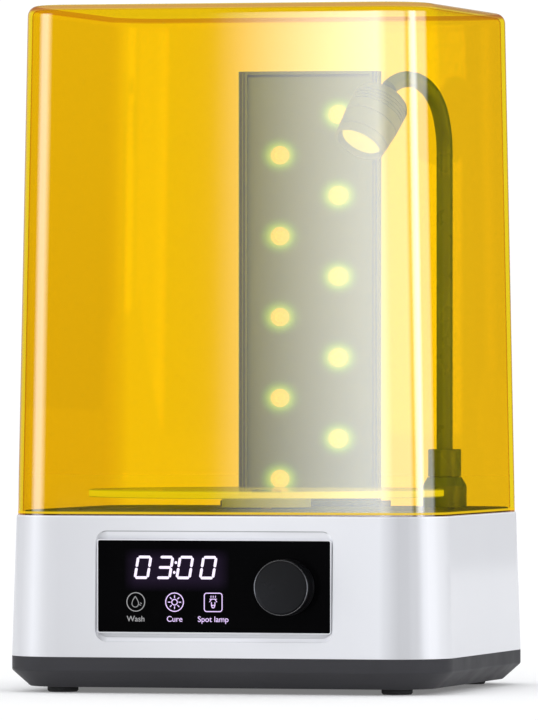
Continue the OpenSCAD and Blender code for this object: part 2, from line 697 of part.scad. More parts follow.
// the cover's outside, or its inside when inset by the wall
module cover_solid(inset, z0, z1) {
    roll = cover_roll - inset / 2;
    w = cover_w - 2 * inset;
    d = cover_d - 2 * inset;
    hull() {
        level(w, d, cover_r - inset, z0);
        for (a = [0:15:90])
            level(w - 2 * cover_lean_x - 2 * roll * (1 - cos(a)),
                  d - 2 * cover_lean_y - 2 * roll * (1 - cos(a)),
                  cover_r - inset - roll * (1 - cos(a)),
                  z1 - thin - roll * (1 - sin(a)));
    }
}

module cover_shell() color([1, 0.72, 0, 0.5]) difference() {
    cover_solid(0, deck_z, top_z);
    cover_solid(cover_wall, deck_z - 1, top_z - cover_wall);
}

// ---------- nodes ----------

place() housing();
place() bottom_pan();
place() deck_plate();
place() rubber_feet();
place() base_screws();
place() control_panel();
place() display_module();
place() display_board();
place() display_screws();
place() encoder_body();
place() encoder_plunger();
place() encoder_shaft();
place() knob_cap();
place() main_board();
place() board_components();
place() board_standoffs();
place() board_screws();
place() drive_motor();
place() motor_bracket();
place() motor_screws();
place() motor_shaft();
place() magnet_rotor();
place() rotor_magnets();
place() turntable_pin();
place() turntable_hub();
place() hub_bushing();
place() hub_magnets();
place() turntable_disc();
place() fan_frame();
place() fan_impeller();
place() fan_screws();
place() dc_inlet();
place() rocker_bezel();
place() rocker_button();
place() cover_sensor();
place() wiring_loom();
place() tower_foot();
place() tower_frame();
place() tower_cap();
place() tower_heat_sink();
place() led_board();
place() led_emitters();
place() led_lenses();
place() tower_screws();
place() neck_socket();
place() socket_nut();
place() neck_plug();
place() gooseneck_stem();
place() gooseneck_arch();
place() lamp_rear_cap();
place() lamp_body();
place() lamp_bezel();
place() lamp_lens();
place() lamp_emitter();
place() cover_shell();
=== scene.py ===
import json
import math

import bmesh
import bpy
from mathutils import Matrix, Vector


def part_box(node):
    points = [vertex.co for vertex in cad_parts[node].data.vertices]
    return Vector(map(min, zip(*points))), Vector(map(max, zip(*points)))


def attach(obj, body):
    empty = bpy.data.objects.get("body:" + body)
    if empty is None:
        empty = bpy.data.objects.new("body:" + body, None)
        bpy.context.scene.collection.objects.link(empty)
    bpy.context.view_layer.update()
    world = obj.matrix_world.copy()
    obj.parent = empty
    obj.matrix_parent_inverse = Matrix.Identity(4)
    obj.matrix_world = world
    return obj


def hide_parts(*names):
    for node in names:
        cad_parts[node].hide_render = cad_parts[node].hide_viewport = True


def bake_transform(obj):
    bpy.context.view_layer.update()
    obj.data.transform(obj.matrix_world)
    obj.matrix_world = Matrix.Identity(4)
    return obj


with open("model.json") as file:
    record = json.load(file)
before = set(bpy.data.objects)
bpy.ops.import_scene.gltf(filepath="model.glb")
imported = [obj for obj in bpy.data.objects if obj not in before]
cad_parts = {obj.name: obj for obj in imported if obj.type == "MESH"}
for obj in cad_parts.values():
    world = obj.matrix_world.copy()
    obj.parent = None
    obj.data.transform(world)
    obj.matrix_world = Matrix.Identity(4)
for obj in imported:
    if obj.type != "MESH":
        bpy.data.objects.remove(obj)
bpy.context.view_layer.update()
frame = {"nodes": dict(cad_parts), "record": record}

# ---------------------------------------------------------------- measures
# Millimetres, in plan coordinates: x = y = 0 is the middle of the base.

MM = 0.001
housing_low, housing_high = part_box("housing")
PLAN_Y = (housing_low.y + housing_high.y) / 2

# base, pan and feet
BASE_W, BASE_D, CORNER_R = 241.0, 219.0, 33.0
DRAFT, WALL = 2.4, 3.0
SEAM_Z, DECK_Z, TRAY_Z, TOP_Z = 19.2, 94.1, 96.6, 365.0
PAN_Z, CHAMFER_Z, CHAMFER_IN = 3.0, 11.7, 9.8
FOOT_X, FOOT_Y, FOOT_R = 91.5, 84.0, 8.25
SCREW_X, SCREW_Y = 102.0, 50.0
QUARTERS = [(-1, -1), (-1, 1), (1, -1), (1, 1)]
# back wall
INLET_X, SWITCH_X, FITTING_Z = 52.0, 82.0, 48.0
VENT_X, VENT_Z, VENT_PITCH, VENT_LENGTH, VENT_SLIT = -60.0, 57.0, 5.0, 34.0, 2.5
# cover
COVER_W, COVER_D, COVER_R, COVER_WALL = 234.8, 212.8, 29.9, 2.5
LEAN_X, LEAN_Y, ROLL = 5.4, 0.9, 6.0
# control panel, in a recess of the front
PANEL_Y, PANEL_T, PANEL_W, PANEL_H, PANEL_X, PANEL_Z = -107.9, 2.5, 126.5, 48.4, -2.2, 56.9
RECESS_W, RECESS_H = 129.5, 58.7
WINDOW_W, WINDOW_H = 99.0, 37.0
KNOB_X, KNOB_R, KNOB_FRONT = 37.9, 15.0, -122.1
KNOB_BACK = -108.6
# turntable
DISC_R, DISC_Z, DISC_T, SPINDLE_Y = 95.5, 103.0, 4.0, -5.5
# lamp tower
TOWER_X, TOWER_W, TOWER_Y, TOWER_D, TOWER_TOP, SHOE_TOP = -1.8, 79.0, 93.0, 7.3, 334.8, 99.6
LED_X, LED_PITCH, LED_FIRST = 16.5, 44.4, 111.2
BOARD_Y = TOWER_Y + 1.9
# spot lamp: a hose that rises straight and then follows two arcs
SOCKET_X, SOCKET_Y, NECK_R, COLLAR_TOP, SWAY_Z = 79.3, 75.0, 4.4, 127.9, 134.5
ARC_A_R, ARC_A, ARC_B_R, ARC_B = 60.0, 20.0, 27.4, 105.0
NECK_BEARING, HEAD_LEAN, HEAD_R = -118.2, 142.0, 15.3
HOSE_SPLIT, ARCH_TOP = 230.0, 328.6
ARCH_Z = ARCH_TOP - ARC_A_R * math.sin(math.radians(ARC_A)) - ARC_B_R * (1 - math.sin(math.radians(ARC_A)))


def at(x, y, z):
    """A point given in millimetres from the middle of the base, in the row frame."""
    return Vector((x * MM, y * MM + PLAN_Y, z * MM))


# ---------------------------------------------------------------- modelling

def only(obj):
    if bpy.context.object and bpy.context.object.mode != "OBJECT":
        bpy.ops.object.mode_set(mode="OBJECT")
    bpy.ops.object.select_all(action="DESELECT")
    obj.select_set(True)
    bpy.context.view_layer.objects.active = obj


def edit(obj, kind="FACE"):
    only(obj)
    bpy.ops.object.mode_set(mode="EDIT")
    bpy.ops.mesh.select_mode(type=kind)
    bpy.ops.mesh.select_all(action="DESELECT")


def done(obj):
    bpy.ops.object.mode_set(mode="OBJECT")
    return obj


def pick(obj, kind, test):
    """In edit mode, selects just the faces, edges or verts that pass the test."""
    bpy.ops.mesh.select_mode(type={"faces": "FACE", "edges": "EDGE", "verts": "VERT"}[kind])
    bpy.ops.mesh.select_all(action="DESELECT")
    mesh = bmesh.from_edit_mesh(obj.data)
    for element in getattr(mesh, kind):
        if test(element):
            element.select_set(True)
    mesh.select_flush_mode()
    bmesh.update_edit_mesh(obj.data)


def lying_at(z=None, y=None):
    """A test for edges whose two ends both lie at height z, or else at depth y."""
    axis, where = (2, z * MM) if y is None else (1, y * MM + PLAN_Y)
    return lambda e: all(abs(v.co[axis] - where) < 0.01 * MM for v in e.verts)


def upright(e):
    a, b = e.verts[0].co, e.verts[1].co
    return abs(a.z - b.z) > 0.9 * (a - b).length


def front_to_back(e):
    a, b = e.verts[0].co, e.verts[1].co
    return abs(a.y - b.y) > 0.9 * (a - b).length


def block(name, low, high):
    """A box between two corners, given in plan millimetres."""
    a, b = at(*low), at(*high)
    bpy.ops.object.select_all(action="DESELECT")
    bpy.ops.mesh.primitive_cube_add(size=1, location=(a + b) / 2, scale=b - a)
    obj = bpy.context.object
    obj.name = name
    bpy.ops.object.transform_apply(location=True, rotation=True, scale=True)
    return obj


def round_edges(obj, test, radius, segments):
    edit(obj, "EDGE")
    pick(obj, "edges", test)
    bpy.ops.mesh.bevel(offset=radius * MM, segments=segments, affect="EDGES")
    return done(obj)


def soften(obj, width, segments=2):
    """A small bevel on every sharp edge, by a modifier that is applied."""
    bevel = obj.modifiers.new("edges", "BEVEL")
    bevel.width = width * MM
    bevel.segments = segments
    bevel.limit_method = "ANGLE"
    bevel.angle_limit = math.radians(40)
    bevel.harden_normals = False
    apply(obj, bevel)
    return obj


def apply(obj, modifier):
    only(obj)
    bpy.ops.object.modifier_apply(modifier=modifier.name)


def slab(name, w, d, r, z0, z1, segments):
    """A rounded rectangle with upright sides, round the middle of the base."""
    obj = block(name, (-w / 2, -d / 2, z0), (w / 2, d / 2, z1))
    return round_edges(obj, upright, r, segments)


def step_in(obj, z, inset, depth):
    """Draws the flat face at height z in by inset and out by depth, which leaves a slanted wall."""
    edit(obj)
    pick(obj, "faces", lambda f: abs(f.calc_center_median().z - z * MM) < 0.01 * MM and abs(f.normal.z) > 0.9)
    bpy.ops.mesh.inset(thickness=inset * MM, depth=depth * MM, use_even_offset=True)
    return done(obj)


def carve(obj, *cutters, how="DIFFERENCE"):
    for cutter in cutters:
        cut = obj.modifiers.new("cut", "BOOLEAN")
        cut.operation = how
        cut.object = cutter
        cut.solver = "EXACT"
        apply(obj, cut)
        bpy.data.objects.remove(cutter)
    return obj


def turned(name, profile, steps=64, closed=False):
    """A shape turned about the Z axis from (radius, height) points in millimetres."""
    bpy.ops.object.select_all(action="DESELECT")
    bpy.ops.mesh.primitive_plane_add(size=MM)
    obj = bpy.context.object
    obj.name = name
    edit(obj, "VERT")
    bpy.ops.mesh.select_all(action="SELECT")
    bpy.ops.mesh.merge(type="CENTER")
    last = Vector((profile[0][0] * MM, 0, profile[0][1] * MM))
    bpy.ops.transform.translate(value=last)
    points = list(profile[1:]) + ([profile[0]] if closed else [])
    for radius, height in points:
        here = Vector((radius * MM, 0, height * MM))
        bpy.ops.mesh.extrude_region_move(TRANSFORM_OT_translate={"value": here - last})
        last = here
    bpy.ops.mesh.select_all(action="SELECT")
    bpy.ops.mesh.spin(steps=steps, angle=math.tau, center=(0, 0, 0), axis=(0, 0, 1))
    bpy.ops.mesh.select_all(action="SELECT")
    bpy.ops.mesh.remove_doubles(threshold=0.002 * MM)
    bpy.ops.mesh.dissolve_degenerate(threshold=0.0001 * MM)
    bpy.ops.mesh.select_all(action="SELECT")
    bpy.ops.mesh.normals_make_consistent(inside=False)
    return done(obj)


def rod(name, radius, z0, z1, steps):
    """A plain upright cylinder."""
    return turned(name, [(0, z0), (radius, z0), (radius, z1), (0, z1)], steps)


def around(x, y):
    """Puts a shape turned about the Z axis on the upright line at x, y."""
    return Matrix.Translation(at(x, y, 0))


def facing_back(x, z):
    """Lays a shape turned about the Z axis on its side, so that its heights run to the back."""
    return Matrix.Translation(at(x, 0, z)) @ Matrix.Rotation(math.radians(-90), 4, "X")


def place(obj, matrix):
    obj.matrix_world = matrix
    only(obj)
    bpy.ops.object.transform_apply(location=True, rotation=True, scale=True)
    return obj


def facing_front(x, y, z):
    """Turns a shape made along +Z so that its +Z looks towards the front, -Y."""
    return Matrix.Translation(at(x, y, z)) @ Matrix.Rotation(math.radians(90), 4, "X")


def joined(name, parts):
    bpy.ops.object.select_all(action="DESELECT")
    for part in parts:
        part.select_set(True)
    bpy.context.view_layer.objects.active = parts[0]
    if len(parts) > 1:
        bpy.ops.object.join()
    parts[0].name = name
    return parts[0]


def copies(obj, offsets):
    """The piece and a copy of it, with its own mesh, at each further offset."""
    made = []
    for dx, dy, dz in offsets:
        twin = obj.copy()
        twin.data = obj.data.copy()
        bpy.context.collection.objects.link(twin)
        twin.data.transform(Matrix.Translation(Vector((dx, dy, dz)) * MM))
        made.append(twin)
    bpy.data.objects.remove(obj)
    return made


def smooth(obj, angle=35):
    only(obj)
    bpy.ops.object.shade_smooth_by_angle(angle=math.radians(angle))
    even = obj.modifiers.new("even", "WEIGHTED_NORMAL")
    even.keep_sharp = True
    apply(obj, even)
    return obj


def fit_out(obj, body, material, slot, *nodes, angle=35):
    """Smooths a finished piece, gives it its material and hangs it on its body."""
    smooth(obj, angle)
    obj.data.materials.clear()
    obj.data.materials.append(material)
    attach(obj, body)
    if nodes:
        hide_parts(*nodes)
    return obj


# ---------------------------------------------------------------- materials

class Finish:
    """A node material with short calls for the nodes that the finishes below use."""

    def __init__(self, name):
        self.material = bpy.data.materials.new(name)
        self.material.use_nodes = True
        self.tree = self.material.node_tree
        self.tree.nodes.clear()
        self.out = self.tree.nodes.new("ShaderNodeOutputMaterial")
        self.where = self.tree.nodes.new("ShaderNodeTexCoord").outputs["Object"]

    def node(self, kind, *links, **values):
        made = self.tree.nodes.new("ShaderNode" + kind)
        for key, value in values.items():
            if hasattr(made, key):
                setattr(made, key, value)
            else:
                made.inputs[key.replace("_", " ")].default_value = value
        for socket, source in links:
            self.tree.links.new(source, made.inputs[socket])
        return made

    def stretched(self, x, y, z):
        return self.node("Mapping", ("Vector", self.where), Scale=(x, y, z)).outputs[0]

    def noise(self, scale, detail=3.0, vector=None):
        place = ("Vector", vector or self.where)
        return self.node("TexNoise", place, Scale=scale, Detail=detail).outputs["Fac"]

    def ramp(self, source, *stops):
        made = self.node("ValToRGB", ("Fac", source))
        bands = made.color_ramp.elements
        while len(bands) < len(stops):
            bands.new(0.5)
        for band, (place, colour) in zip(bands, stops):
            band.position = place
            band.color = (*colour, 1) if len(colour) == 3 else colour
        return made.outputs["Color"]

    def grey(self, source, low, high, a=0.0, b=1.0):
        """The source spread from a..b to low..high, as one number."""
        made = self.node("MapRange", ("Value", source))
        for key, value in (("From Min", a), ("From Max", b), ("To Min", low), ("To Max", high)):
            made.inputs[key].default_value = value
        return made.outputs["Result"]

    def blend(self, factor, a, b, how="MIX"):
        """Mixes two colours, each a plain colour or another node's output."""
        made = self.tree.nodes.new("ShaderNodeMix")
        made.data_type, made.blend_type = "RGBA", how
        for socket, value in (("Factor", factor), ("A", a), ("B", b)):
            sockets = [i for i in made.inputs if i.name == socket and i.enabled]
            if isinstance(value, (int, float)):
                sockets[0].default_value = value
            elif isinstance(value, tuple):
                sockets[0].default_value = (*value, 1)
            else:
                self.tree.links.new(value, sockets[0])
        return [o for o in made.outputs if o.enabled][0]

    def sum(self, operation, a, b):
        made = self.node("Math", operation=operation)
        for socket, value in zip(made.inputs, (a, b)):
            if isinstance(value, (int, float)):
                socket.default_value = value
            else:
                self.tree.links.new(value, socket)
        return made.outputs[0]

    def bump(self, height, strength, distance):
        return self.node("Bump", ("Height", height), Strength=strength, Distance=distance).outputs[0]

    def split(self, vector):
        return self.node("SeparateXYZ", ("Vector", vector)).outputs

    def shaded(self, colour, place, tones):
        """The colour made lighter or darker along a 0..1 place, by pairs of place and factor, up to 1.2."""
        most = 1.2
        scale = self.ramp(place, *[(x, (k / most,) * 3) for x, k in tones])
        return self.blend(1.0, self.blend(1.0, colour, scale, "MULTIPLY"), (most,) * 3, "MULTIPLY")

    def glint(self, straight, grazing, power=5):
        """How much a clear surface mirrors: little straight on, much at grazing views, from either side."""
        facing = self.node("LayerWeight", Blend=0.5).outputs["Facing"]
        return self.sum("ADD", self.sum("MULTIPLY", self.sum("POWER", facing, power), grazing), straight)

    def show(self, shader):
        self.tree.links.new(shader, self.out.inputs["Surface"])
        return self.material


def moulded(name, colour, rough, grain=900.0, depth=0.00003, spread=0.06, metal=0.0, stretch=None,
            specular=0.5):
    """Moulded plastic, rubber or metal: a fine grain, a slow change of tone and uneven gloss."""
    f = Finish(name)
    where = f.stretched(*stretch) if stretch else f.where
    fine = f.noise(grain, 2.0, where)
    slow = f.noise(18.0, 2.0)
    darker, lighter = (tuple(min(1, c * k) for c in colour) for k in (1 - spread, 1 + spread))
    tone = f.ramp(slow, (0.3, darker), (0.7, lighter))
    uneven = f.grey(f.noise(60.0, 3.0, where), max(0.02, rough - 0.06), rough + 0.06, 0.3, 0.7)
    shader = f.node("BsdfPrincipled", ("Base Color", tone), ("Roughness", uneven),
                    ("Normal", f.bump(fine, 0.35, depth)), Metallic=metal)
    shader.inputs["Specular IOR Level"].default_value = specular
    return f.show(shader.outputs[0])


def white_shell():
    """Glossy white moulding, with painted shade on one turn of the corners and a painted highlight on the
    next.
    """
    f = Finish("white_shell")
    geometry = f.node("NewGeometry").outputs
    facing = f.split(geometry["Normal"])
    turn = f.sum("ARCTAN2", facing["X"], f.sum("MULTIPLY", facing["Y"], -1.0))
    bearing = f.grey(turn, 0.0, 1.0, -math.pi / 2, math.pi / 2)
    # bearing of the wall in degrees, and the painted shade or painted highlight factor there
    corner_painted_light = ((-90, 0.97), (-45, 1.0), (-27, 1.18), (-10, 0.99), (0, 0.96), (5, 0.86), (19, 0.70),
                    (28, 0.71), (40, 0.84), (50, 1.14), (56, 1.12), (66, 1.06), (80, 0.98), (90, 0.965))
    shade = f.ramp(bearing, *[((a + 90) / 180, (k * 0.765, k * 0.77, k * 0.795)) for a, k in corner_painted_light])
    along = f.grey(f.split(f.where)["X"], 0.0, 1.0, -BASE_W / 2 * MM, BASE_W / 2 * MM)
    # place across the base from left to right, and the painted light factor there: painted shade at the left,
    # a painted sheen in the middle
    width_painted_light = ((0.0, 0.93), (0.14, 0.93), (0.29, 1.0), (0.44, 1.08), (0.58, 1.11), (0.69, 1.08),
                   (0.8, 1.03), (1.0, 1.02))
    shade = f.shaded(shade, along, width_painted_light)
    tilt = f.grey(f.split(geometry["True Normal"])["Z"], 0.0, 1.0, -1.0, 1.0)
    # painted shade on the recess's upper brow and painted light on its slopes
    tilt_painted_light = ((-1, 0.9), (-0.58, 0.55), (-0.5, 0.55), (-0.46, 1.08), (-0.2, 1.08), (-0.1, 1.0),
                  (0.1, 1.0), (0.18, 1.2), (0.5, 1.2), (0.62, 1.0), (1.0, 1.0))
    shade = f.shaded(shade, tilt, [((z + 1) / 2, k) for z, k in tilt_painted_light])
    duller = f.blend(1.0, shade, (0.985, 0.985, 0.99), "MULTIPLY")
    tone = f.blend(f.grey(f.noise(18.0, 2.0), 0.0, 1.0, 0.3, 0.7), shade, duller)
    uneven = f.grey(f.noise(60.0), 0.34, 0.46, 0.3, 0.7)
    shader = f.node("BsdfPrincipled", ("Base Color", tone), ("Roughness", uneven),
                    ("Normal", f.bump(f.noise(1500.0), 0.35, 0.00001)))
    shader.inputs["Coat Weight"].default_value = 0.35
    shader.inputs["Coat Roughness"].default_value = 0.06
    shader.inputs["Specular IOR Level"].default_value = 0.0
    return f.show(shader.outputs[0])


def glowing(name, colour, strength):
    """A lit surface whose tone wavers a little."""
    f = Finish(name)
    tone = f.ramp(f.noise(400.0), (0.35, tuple(c * 0.94 for c in colour)), (0.65, colour))
    light = f.node("BsdfPrincipled", ("Emission Color", tone), Roughness=0.3)
    light.inputs["Base Color"].default_value = (0.02, 0.02, 0.02, 1)
    light.inputs["Emission Strength"].default_value = strength
    return f.show(light.outputs[0])


def amber():
    """See-through amber. Light reaches the inside almost white, as it does through a thin wall, while what
    is seen through a wall takes the colour of the sheet; rims and edge-on views run to a red brown."""
    f = Finish("amber_acrylic")
    steep = f.node("LayerWeight", Blend=0.5).outputs["Facing"]
    sheet, red_brown = (0.997, 0.868, 0.10), (0.74, 0.45, 0.24)
    body = f.ramp(steep, (0.0, sheet), (0.5, sheet), (0.75, (0.998, 0.88, 0.10)),
                  (0.86, (0.93, 0.72, 0.2)), (1.0, (0.60, 0.30, 0.17)))
    place = f.split(f.where)
    left_wall = f.grey(place["X"], 1.0, 0.0, -119 * MM, -105 * MM)
    body = f.blend(1.0, body, f.blend(left_wall, (1, 1, 1), (0.88, 0.82, 1)), "MULTIPLY")
    height = place["Z"]
    rim = f.grey(height, 0.0, 1.0, (TOP_Z - 3.2) * MM, (TOP_Z - 2.2) * MM)
    foot = f.grey(height, 1.0, 0.0, (DECK_Z + 0.5) * MM, (DECK_Z + 1.1) * MM)
    geometry = f.node("NewGeometry").outputs
    level = f.sum("ABSOLUTE", f.split(geometry["Normal"])["Z"], 0)
    sideways = f.grey(level, 1.0, 0.0, 0.90, 0.96)
    # painted sheen: faces near level, such as the top, get a pale tint that stands in for reflection
    body = f.blend(f.grey(level, 0.0, 1.0, 0.90, 0.96), body, (0.975, 0.90, 0.45))
    body = f.blend(f.sum("MULTIPLY", f.sum("MAXIMUM", rim, foot), sideways), body, red_brown)
    rays = f.node("LightPath").outputs
    inward = f.sum("MAXIMUM", rays["Is Diffuse Ray"], rays["Is Shadow Ray"])
    passing = f.node("BsdfTransparent", ("Color", f.blend(inward, body, (0.97, 0.96, 0.92))))
    gloss = f.node("BsdfGlossy", Roughness=0.02)
    gloss.inputs["Color"].default_value = (1, 1, 1, 1)
    # only the outer faces mirror the room in full
    outward = f.node("VectorMath", (0, geometry["Normal"]), (1, f.where), operation="DOT_PRODUCT")
    outward = outward.outputs["Value"]
    outside = f.sum("MULTIPLY", f.grey(geometry["Backfacing"], 1.0, 0.0), f.sum("GREATER_THAN", outward, 0.0))
    share = f.sum("MULTIPLY", f.glint(0.11, 0.6, 7), f.grey(outside, 0.15, 1.0))
    mix = f.node("MixShader", (0, share), (1, passing.outputs[0]), (2, gloss.outputs[0]))
    # painted glow: an emitting thin line just above the lower rim stands in for light gathered there
    above = f.grey(height, 0.0, 1.0, (DECK_Z + 0.7) * MM, (DECK_Z + 1.0) * MM)
    below = f.grey(height, 1.0, 0.0, (DECK_Z + 1.7) * MM, (DECK_Z + 2.3) * MM)
    gathered = f.sum("MULTIPLY", f.sum("MULTIPLY", above, below), f.sum("MULTIPLY", outside, 0.85))
    light = f.node("Emission", Strength=1.0)
    light.inputs["Color"].default_value = (0.92, 0.60, 0.015, 1)
    lined = f.node("MixShader", (0, gathered), (1, mix.outputs[0]), (2, light.outputs[0]))
    return f.show(lined.outputs[0])


def clear(name, tint, edge_glow=None):
    """Clear moulded plastic: tinted and see-through. An edge glow is painted light: an emitting band at its
    upright edges that stands in for light gathered there.
    """
    f = Finish(name)
    slow = f.noise(30.0, 2.0)
    colour = f.ramp(slow, (0.3, tuple(c * 0.97 for c in tint)), (0.7, tint))
    passing = f.node("BsdfTransparent", ("Color", colour))
    gloss = f.node("BsdfGlossy", Roughness=0.04)
    share = f.glint(0.03, 0.6)
    shader = f.node("MixShader", (0, share), (1, passing.outputs[0]), (2, gloss.outputs[0])).outputs[0]
    # painted light: the upright edges emit the edge glow colour
    if edge_glow:
        level = f.sum("ABSOLUTE", f.split(f.node("NewGeometry").outputs["Normal"])["Z"], 0)
        edge = f.grey(level, 1.0, 0.0, 0.2, 0.9)
        light = f.node("Emission", Strength=1.0)
        light.inputs["Color"].default_value = (*edge_glow, 1)
        share = f.sum("MULTIPLY", edge, 0.8)
        shader = f.node("MixShader", (0, share), (1, shader), (2, light.outputs[0])).outputs[0]
    return f.show(shader)


def led_halo():
    """The emitter board: grey solder mask with a painted pool of green light round each emitter."""
    f = Finish("led_board")
    place = f.split(f.where)
    halo = None
    for side, first in ((-1, LED_FIRST), (1, LED_FIRST + LED_PITCH / 2)):
        across = f.sum("SUBTRACT", place["X"], (TOWER_X + side * LED_X) * MM)
        up = f.sum("SUBTRACT", place["Z"], (first - LED_PITCH / 2) * MM)
        up = f.sum("SUBTRACT", f.sum("MODULO", up, LED_PITCH * MM), LED_PITCH / 2 * MM)
        up = f.sum("MULTIPLY", up, 1.15)
        square = f.sum("ADD", f.sum("MULTIPLY", across, across), f.sum("MULTIPLY", up, up))
        near = f.grey(f.sum("SQRT", square, 0), 1.0, 0.0, 0.0045, 0.0125)
        near = f.sum("MULTIPLY", near, f.sum("LESS_THAN", place["Z"], (first + 4.5 * LED_PITCH) * MM))
        halo = near if halo is None else f.sum("MAXIMUM", halo, near)
    halo = f.sum("POWER", halo, 1.5)
    tone = f.ramp(f.noise(40.0), (0.3, (0.150, 0.185, 0.165)), (0.7, (0.160, 0.20, 0.178)))
    # painted light: the board emits the green halo round each emitter
    light = f.ramp(halo, (0.0, (0, 0, 0)), (0.3, (0.06, 0.19, 0.02)), (0.7, (0.26, 0.52, 0.05)),
                   (1.0, (0.85, 0.78, 0.1)))
    traces = f.bump(f.noise(500.0), 0.2, 0.00003)
    shader = f.node("BsdfPrincipled", ("Base Color", tone), ("Emission Color", light), ("Normal", traces),
                    Roughness=0.5)
    shader.inputs["Emission Strength"].default_value = 0.9
    return f.show(shader.outputs[0])


def lit_dome():
    """The lens over an emitter: full of warm light in the middle, clear towards its rim."""
    f = Finish("lens_clear")
    rim = f.node("LayerWeight", Blend=0.5).outputs["Facing"]
    glow = f.grey(rim, 1.0, 0.0, 0.05, 0.45)
    tone = f.ramp(f.noise(300.0), (0.35, (1.0, 0.74, 0.10)), (0.65, (1.0, 0.79, 0.13)))
    light = f.node("Emission", ("Color", tone), Strength=1.08)
    passing = f.node("BsdfTransparent")
    passing.inputs["Color"].default_value = (0.97, 0.98, 0.9, 1)
    mix = f.node("MixShader", (0, glow), (1, passing.outputs[0]), (2, light.outputs[0]))
    return f.show(mix.outputs[0])


def panel_glass():
    """Black glass with a faint violet haze behind the digits."""
    f = Finish("panel_glass")
    place = f.split(f.where)
    x = f.sum("ABSOLUTE", f.sum("SUBTRACT", place["X"], -22.4 * MM), 0)
    z = f.sum("ABSOLUTE", f.sum("SUBTRACT", place["Z"], 65.5 * MM), 0)
    haze = f.sum("MULTIPLY", f.grey(x, 1.0, 0.0, 0.0225, 0.029), f.grey(z, 1.0, 0.0, 0.0055, 0.0115))
    light = f.ramp(haze, (0.0, (0, 0, 0)), (1.0, (0.012, 0.007, 0.019)))
    tone = f.ramp(f.noise(25.0), (0.3, (0.0012, 0.0012, 0.0015)), (0.7, (0.0018, 0.0018, 0.002)))
    rough = f.grey(f.noise(8.0), 0.05, 0.12, 0.3, 0.7)
    shader = f.node("BsdfPrincipled", ("Base Color", tone), ("Roughness", rough), ("Emission Color", light))
    shader.inputs["Emission Strength"].default_value = 1.0
    shader.inputs["Specular IOR Level"].default_value = 0.01
    return f.show(shader.outputs[0])


AMBER = amber()
WHITE = white_shell()
GREY = moulded("grey_pan", (0.046, 0.0455, 0.050), 0.5, grain=1400, depth=0.00004, spread=0.05, specular=0.12)
DECK = moulded("dark_deck", (0.135, 0.155, 0.12), 0.38, grain=1200, spread=0.08)
RUBBER = moulded("black_rubber", (0.018, 0.018, 0.018), 0.75, grain=700, depth=0.00008)
STEEL = moulded("screw_steel", (0.62, 0.62, 0.64), 0.3, grain=500, metal=1.0, depth=0.00002)
DISPLAY = moulded("display_dark", (0.05, 0.05, 0.06), 0.2)
BOARD = moulded("board_green", (0.02, 0.16, 0.07), 0.35, grain=400, spread=0.2)
BLACK = moulded("black_plastic", (0.02, 0.02, 0.022), 0.4, grain=1000)
KNOB = moulded("knob_black", (0.0035, 0.0035, 0.004), 0.3, grain=1300, spread=0.1, specular=0.12)
KNOB_EDGE = moulded("knob_edge", (0.16, 0.16, 0.165), 0.25, metal=1.0)
BRASS = moulded("brass_part", (0.72, 0.50, 0.20), 0.28, metal=1.0, grain=600)
MOTOR = moulded("motor_steel", (0.45, 0.46, 0.48), 0.32, metal=1.0, stretch=(1, 1, 40))
BRACKET = moulded("bracket_aluminium", (0.72, 0.73, 0.75), 0.35, metal=1.0, stretch=(1, 30, 1))
ROTOR = moulded("rotor_white", (0.72, 0.72, 0.72), 0.4)
MAGNET = moulded("magnet_nickel", (0.68, 0.68, 0.70), 0.18, metal=1.0)
TOWER = moulded("tower_aluminium", (0.16, 0.195, 0.185), 0.45, metal=0.1, stretch=(30, 30, 1), spread=0.05,
                specular=0.4)
SINK = moulded("sink_aluminium", (0.6, 0.62, 0.62), 0.4, metal=1.0, stretch=(30, 30, 1))
NECK = moulded("neck_black", (0.175, 0.225, 0.19), 0.3, grain=1400, spread=0.08, specular=0.6)
LAMP = moulded("lamp_dark", (0.17, 0.20, 0.185), 0.4, grain=1200, spread=0.05, specular=0.6)
LOOM = moulded("loom_black", (0.03, 0.03, 0.03), 0.6)
CLEAR = clear("clear_acrylic", (0.90, 0.95, 0.62), (0.90, 0.86, 0.03))
LENS = clear("lens_clear", (0.97, 0.98, 0.85))
LED_BOARD = led_halo()
DOME = lit_dome()
EMITTER = glowing("emitter", (1.0, 0.84, 0.20), 1.25)
LAMP_LIGHT = glowing("lamp_light", (0.76, 0.76, 0.28), 0.95)
PANEL = panel_glass()
LIT = glowing("digits_lit", (0.90, 0.80, 1.0), 1.2)
VIOLET = glowing("icons_lit", (0.72, 0.54, 0.92), 1.2)
DIM = glowing("icon_dim", (0.42, 0.42, 0.43), 0.8)

BY_SLOT = {
    "white_shell": WHITE, "grey_pan": GREY, "dark_deck": DECK, "black_rubber": RUBBER, "screw_steel": STEEL,
    "panel_black": PANEL, "display_dark": DISPLAY, "board_green": BOARD, "black_plastic": BLACK,
    "knob_black": KNOB, "brass_part": BRASS, "motor_steel": MOTOR, "bracket_aluminium": BRACKET,
    "rotor_white": ROTOR, "magnet_nickel": MAGNET, "clear_acrylic": CLEAR, "tower_aluminium": TOWER,
    "sink_aluminium": SINK, "led_board_grey": LED_BOARD, "emitter": EMITTER, "lens_clear": LENS,
    "neck_black": NECK, "lamp_dark": LAMP, "amber_acrylic": AMBER, "loom_black": LOOM,
}
for part in frame["record"]["subparts"]:
    node = frame["nodes"][part["node"]]
    node.data.materials.clear()
    node.data.materials.append(BY_SLOT[part["material_slot"]])

# ---------------------------------------------------------------- base housing


def fitting(name, half_w, half_h, y0, y1):
    """A block round the middle of the power switch, from depth y0 to y1."""
    return block(name, (SWITCH_X - half_w, y0, FITTING_Z - half_h),
                 (SWITCH_X + half_w, y1, FITTING_Z + half_h))


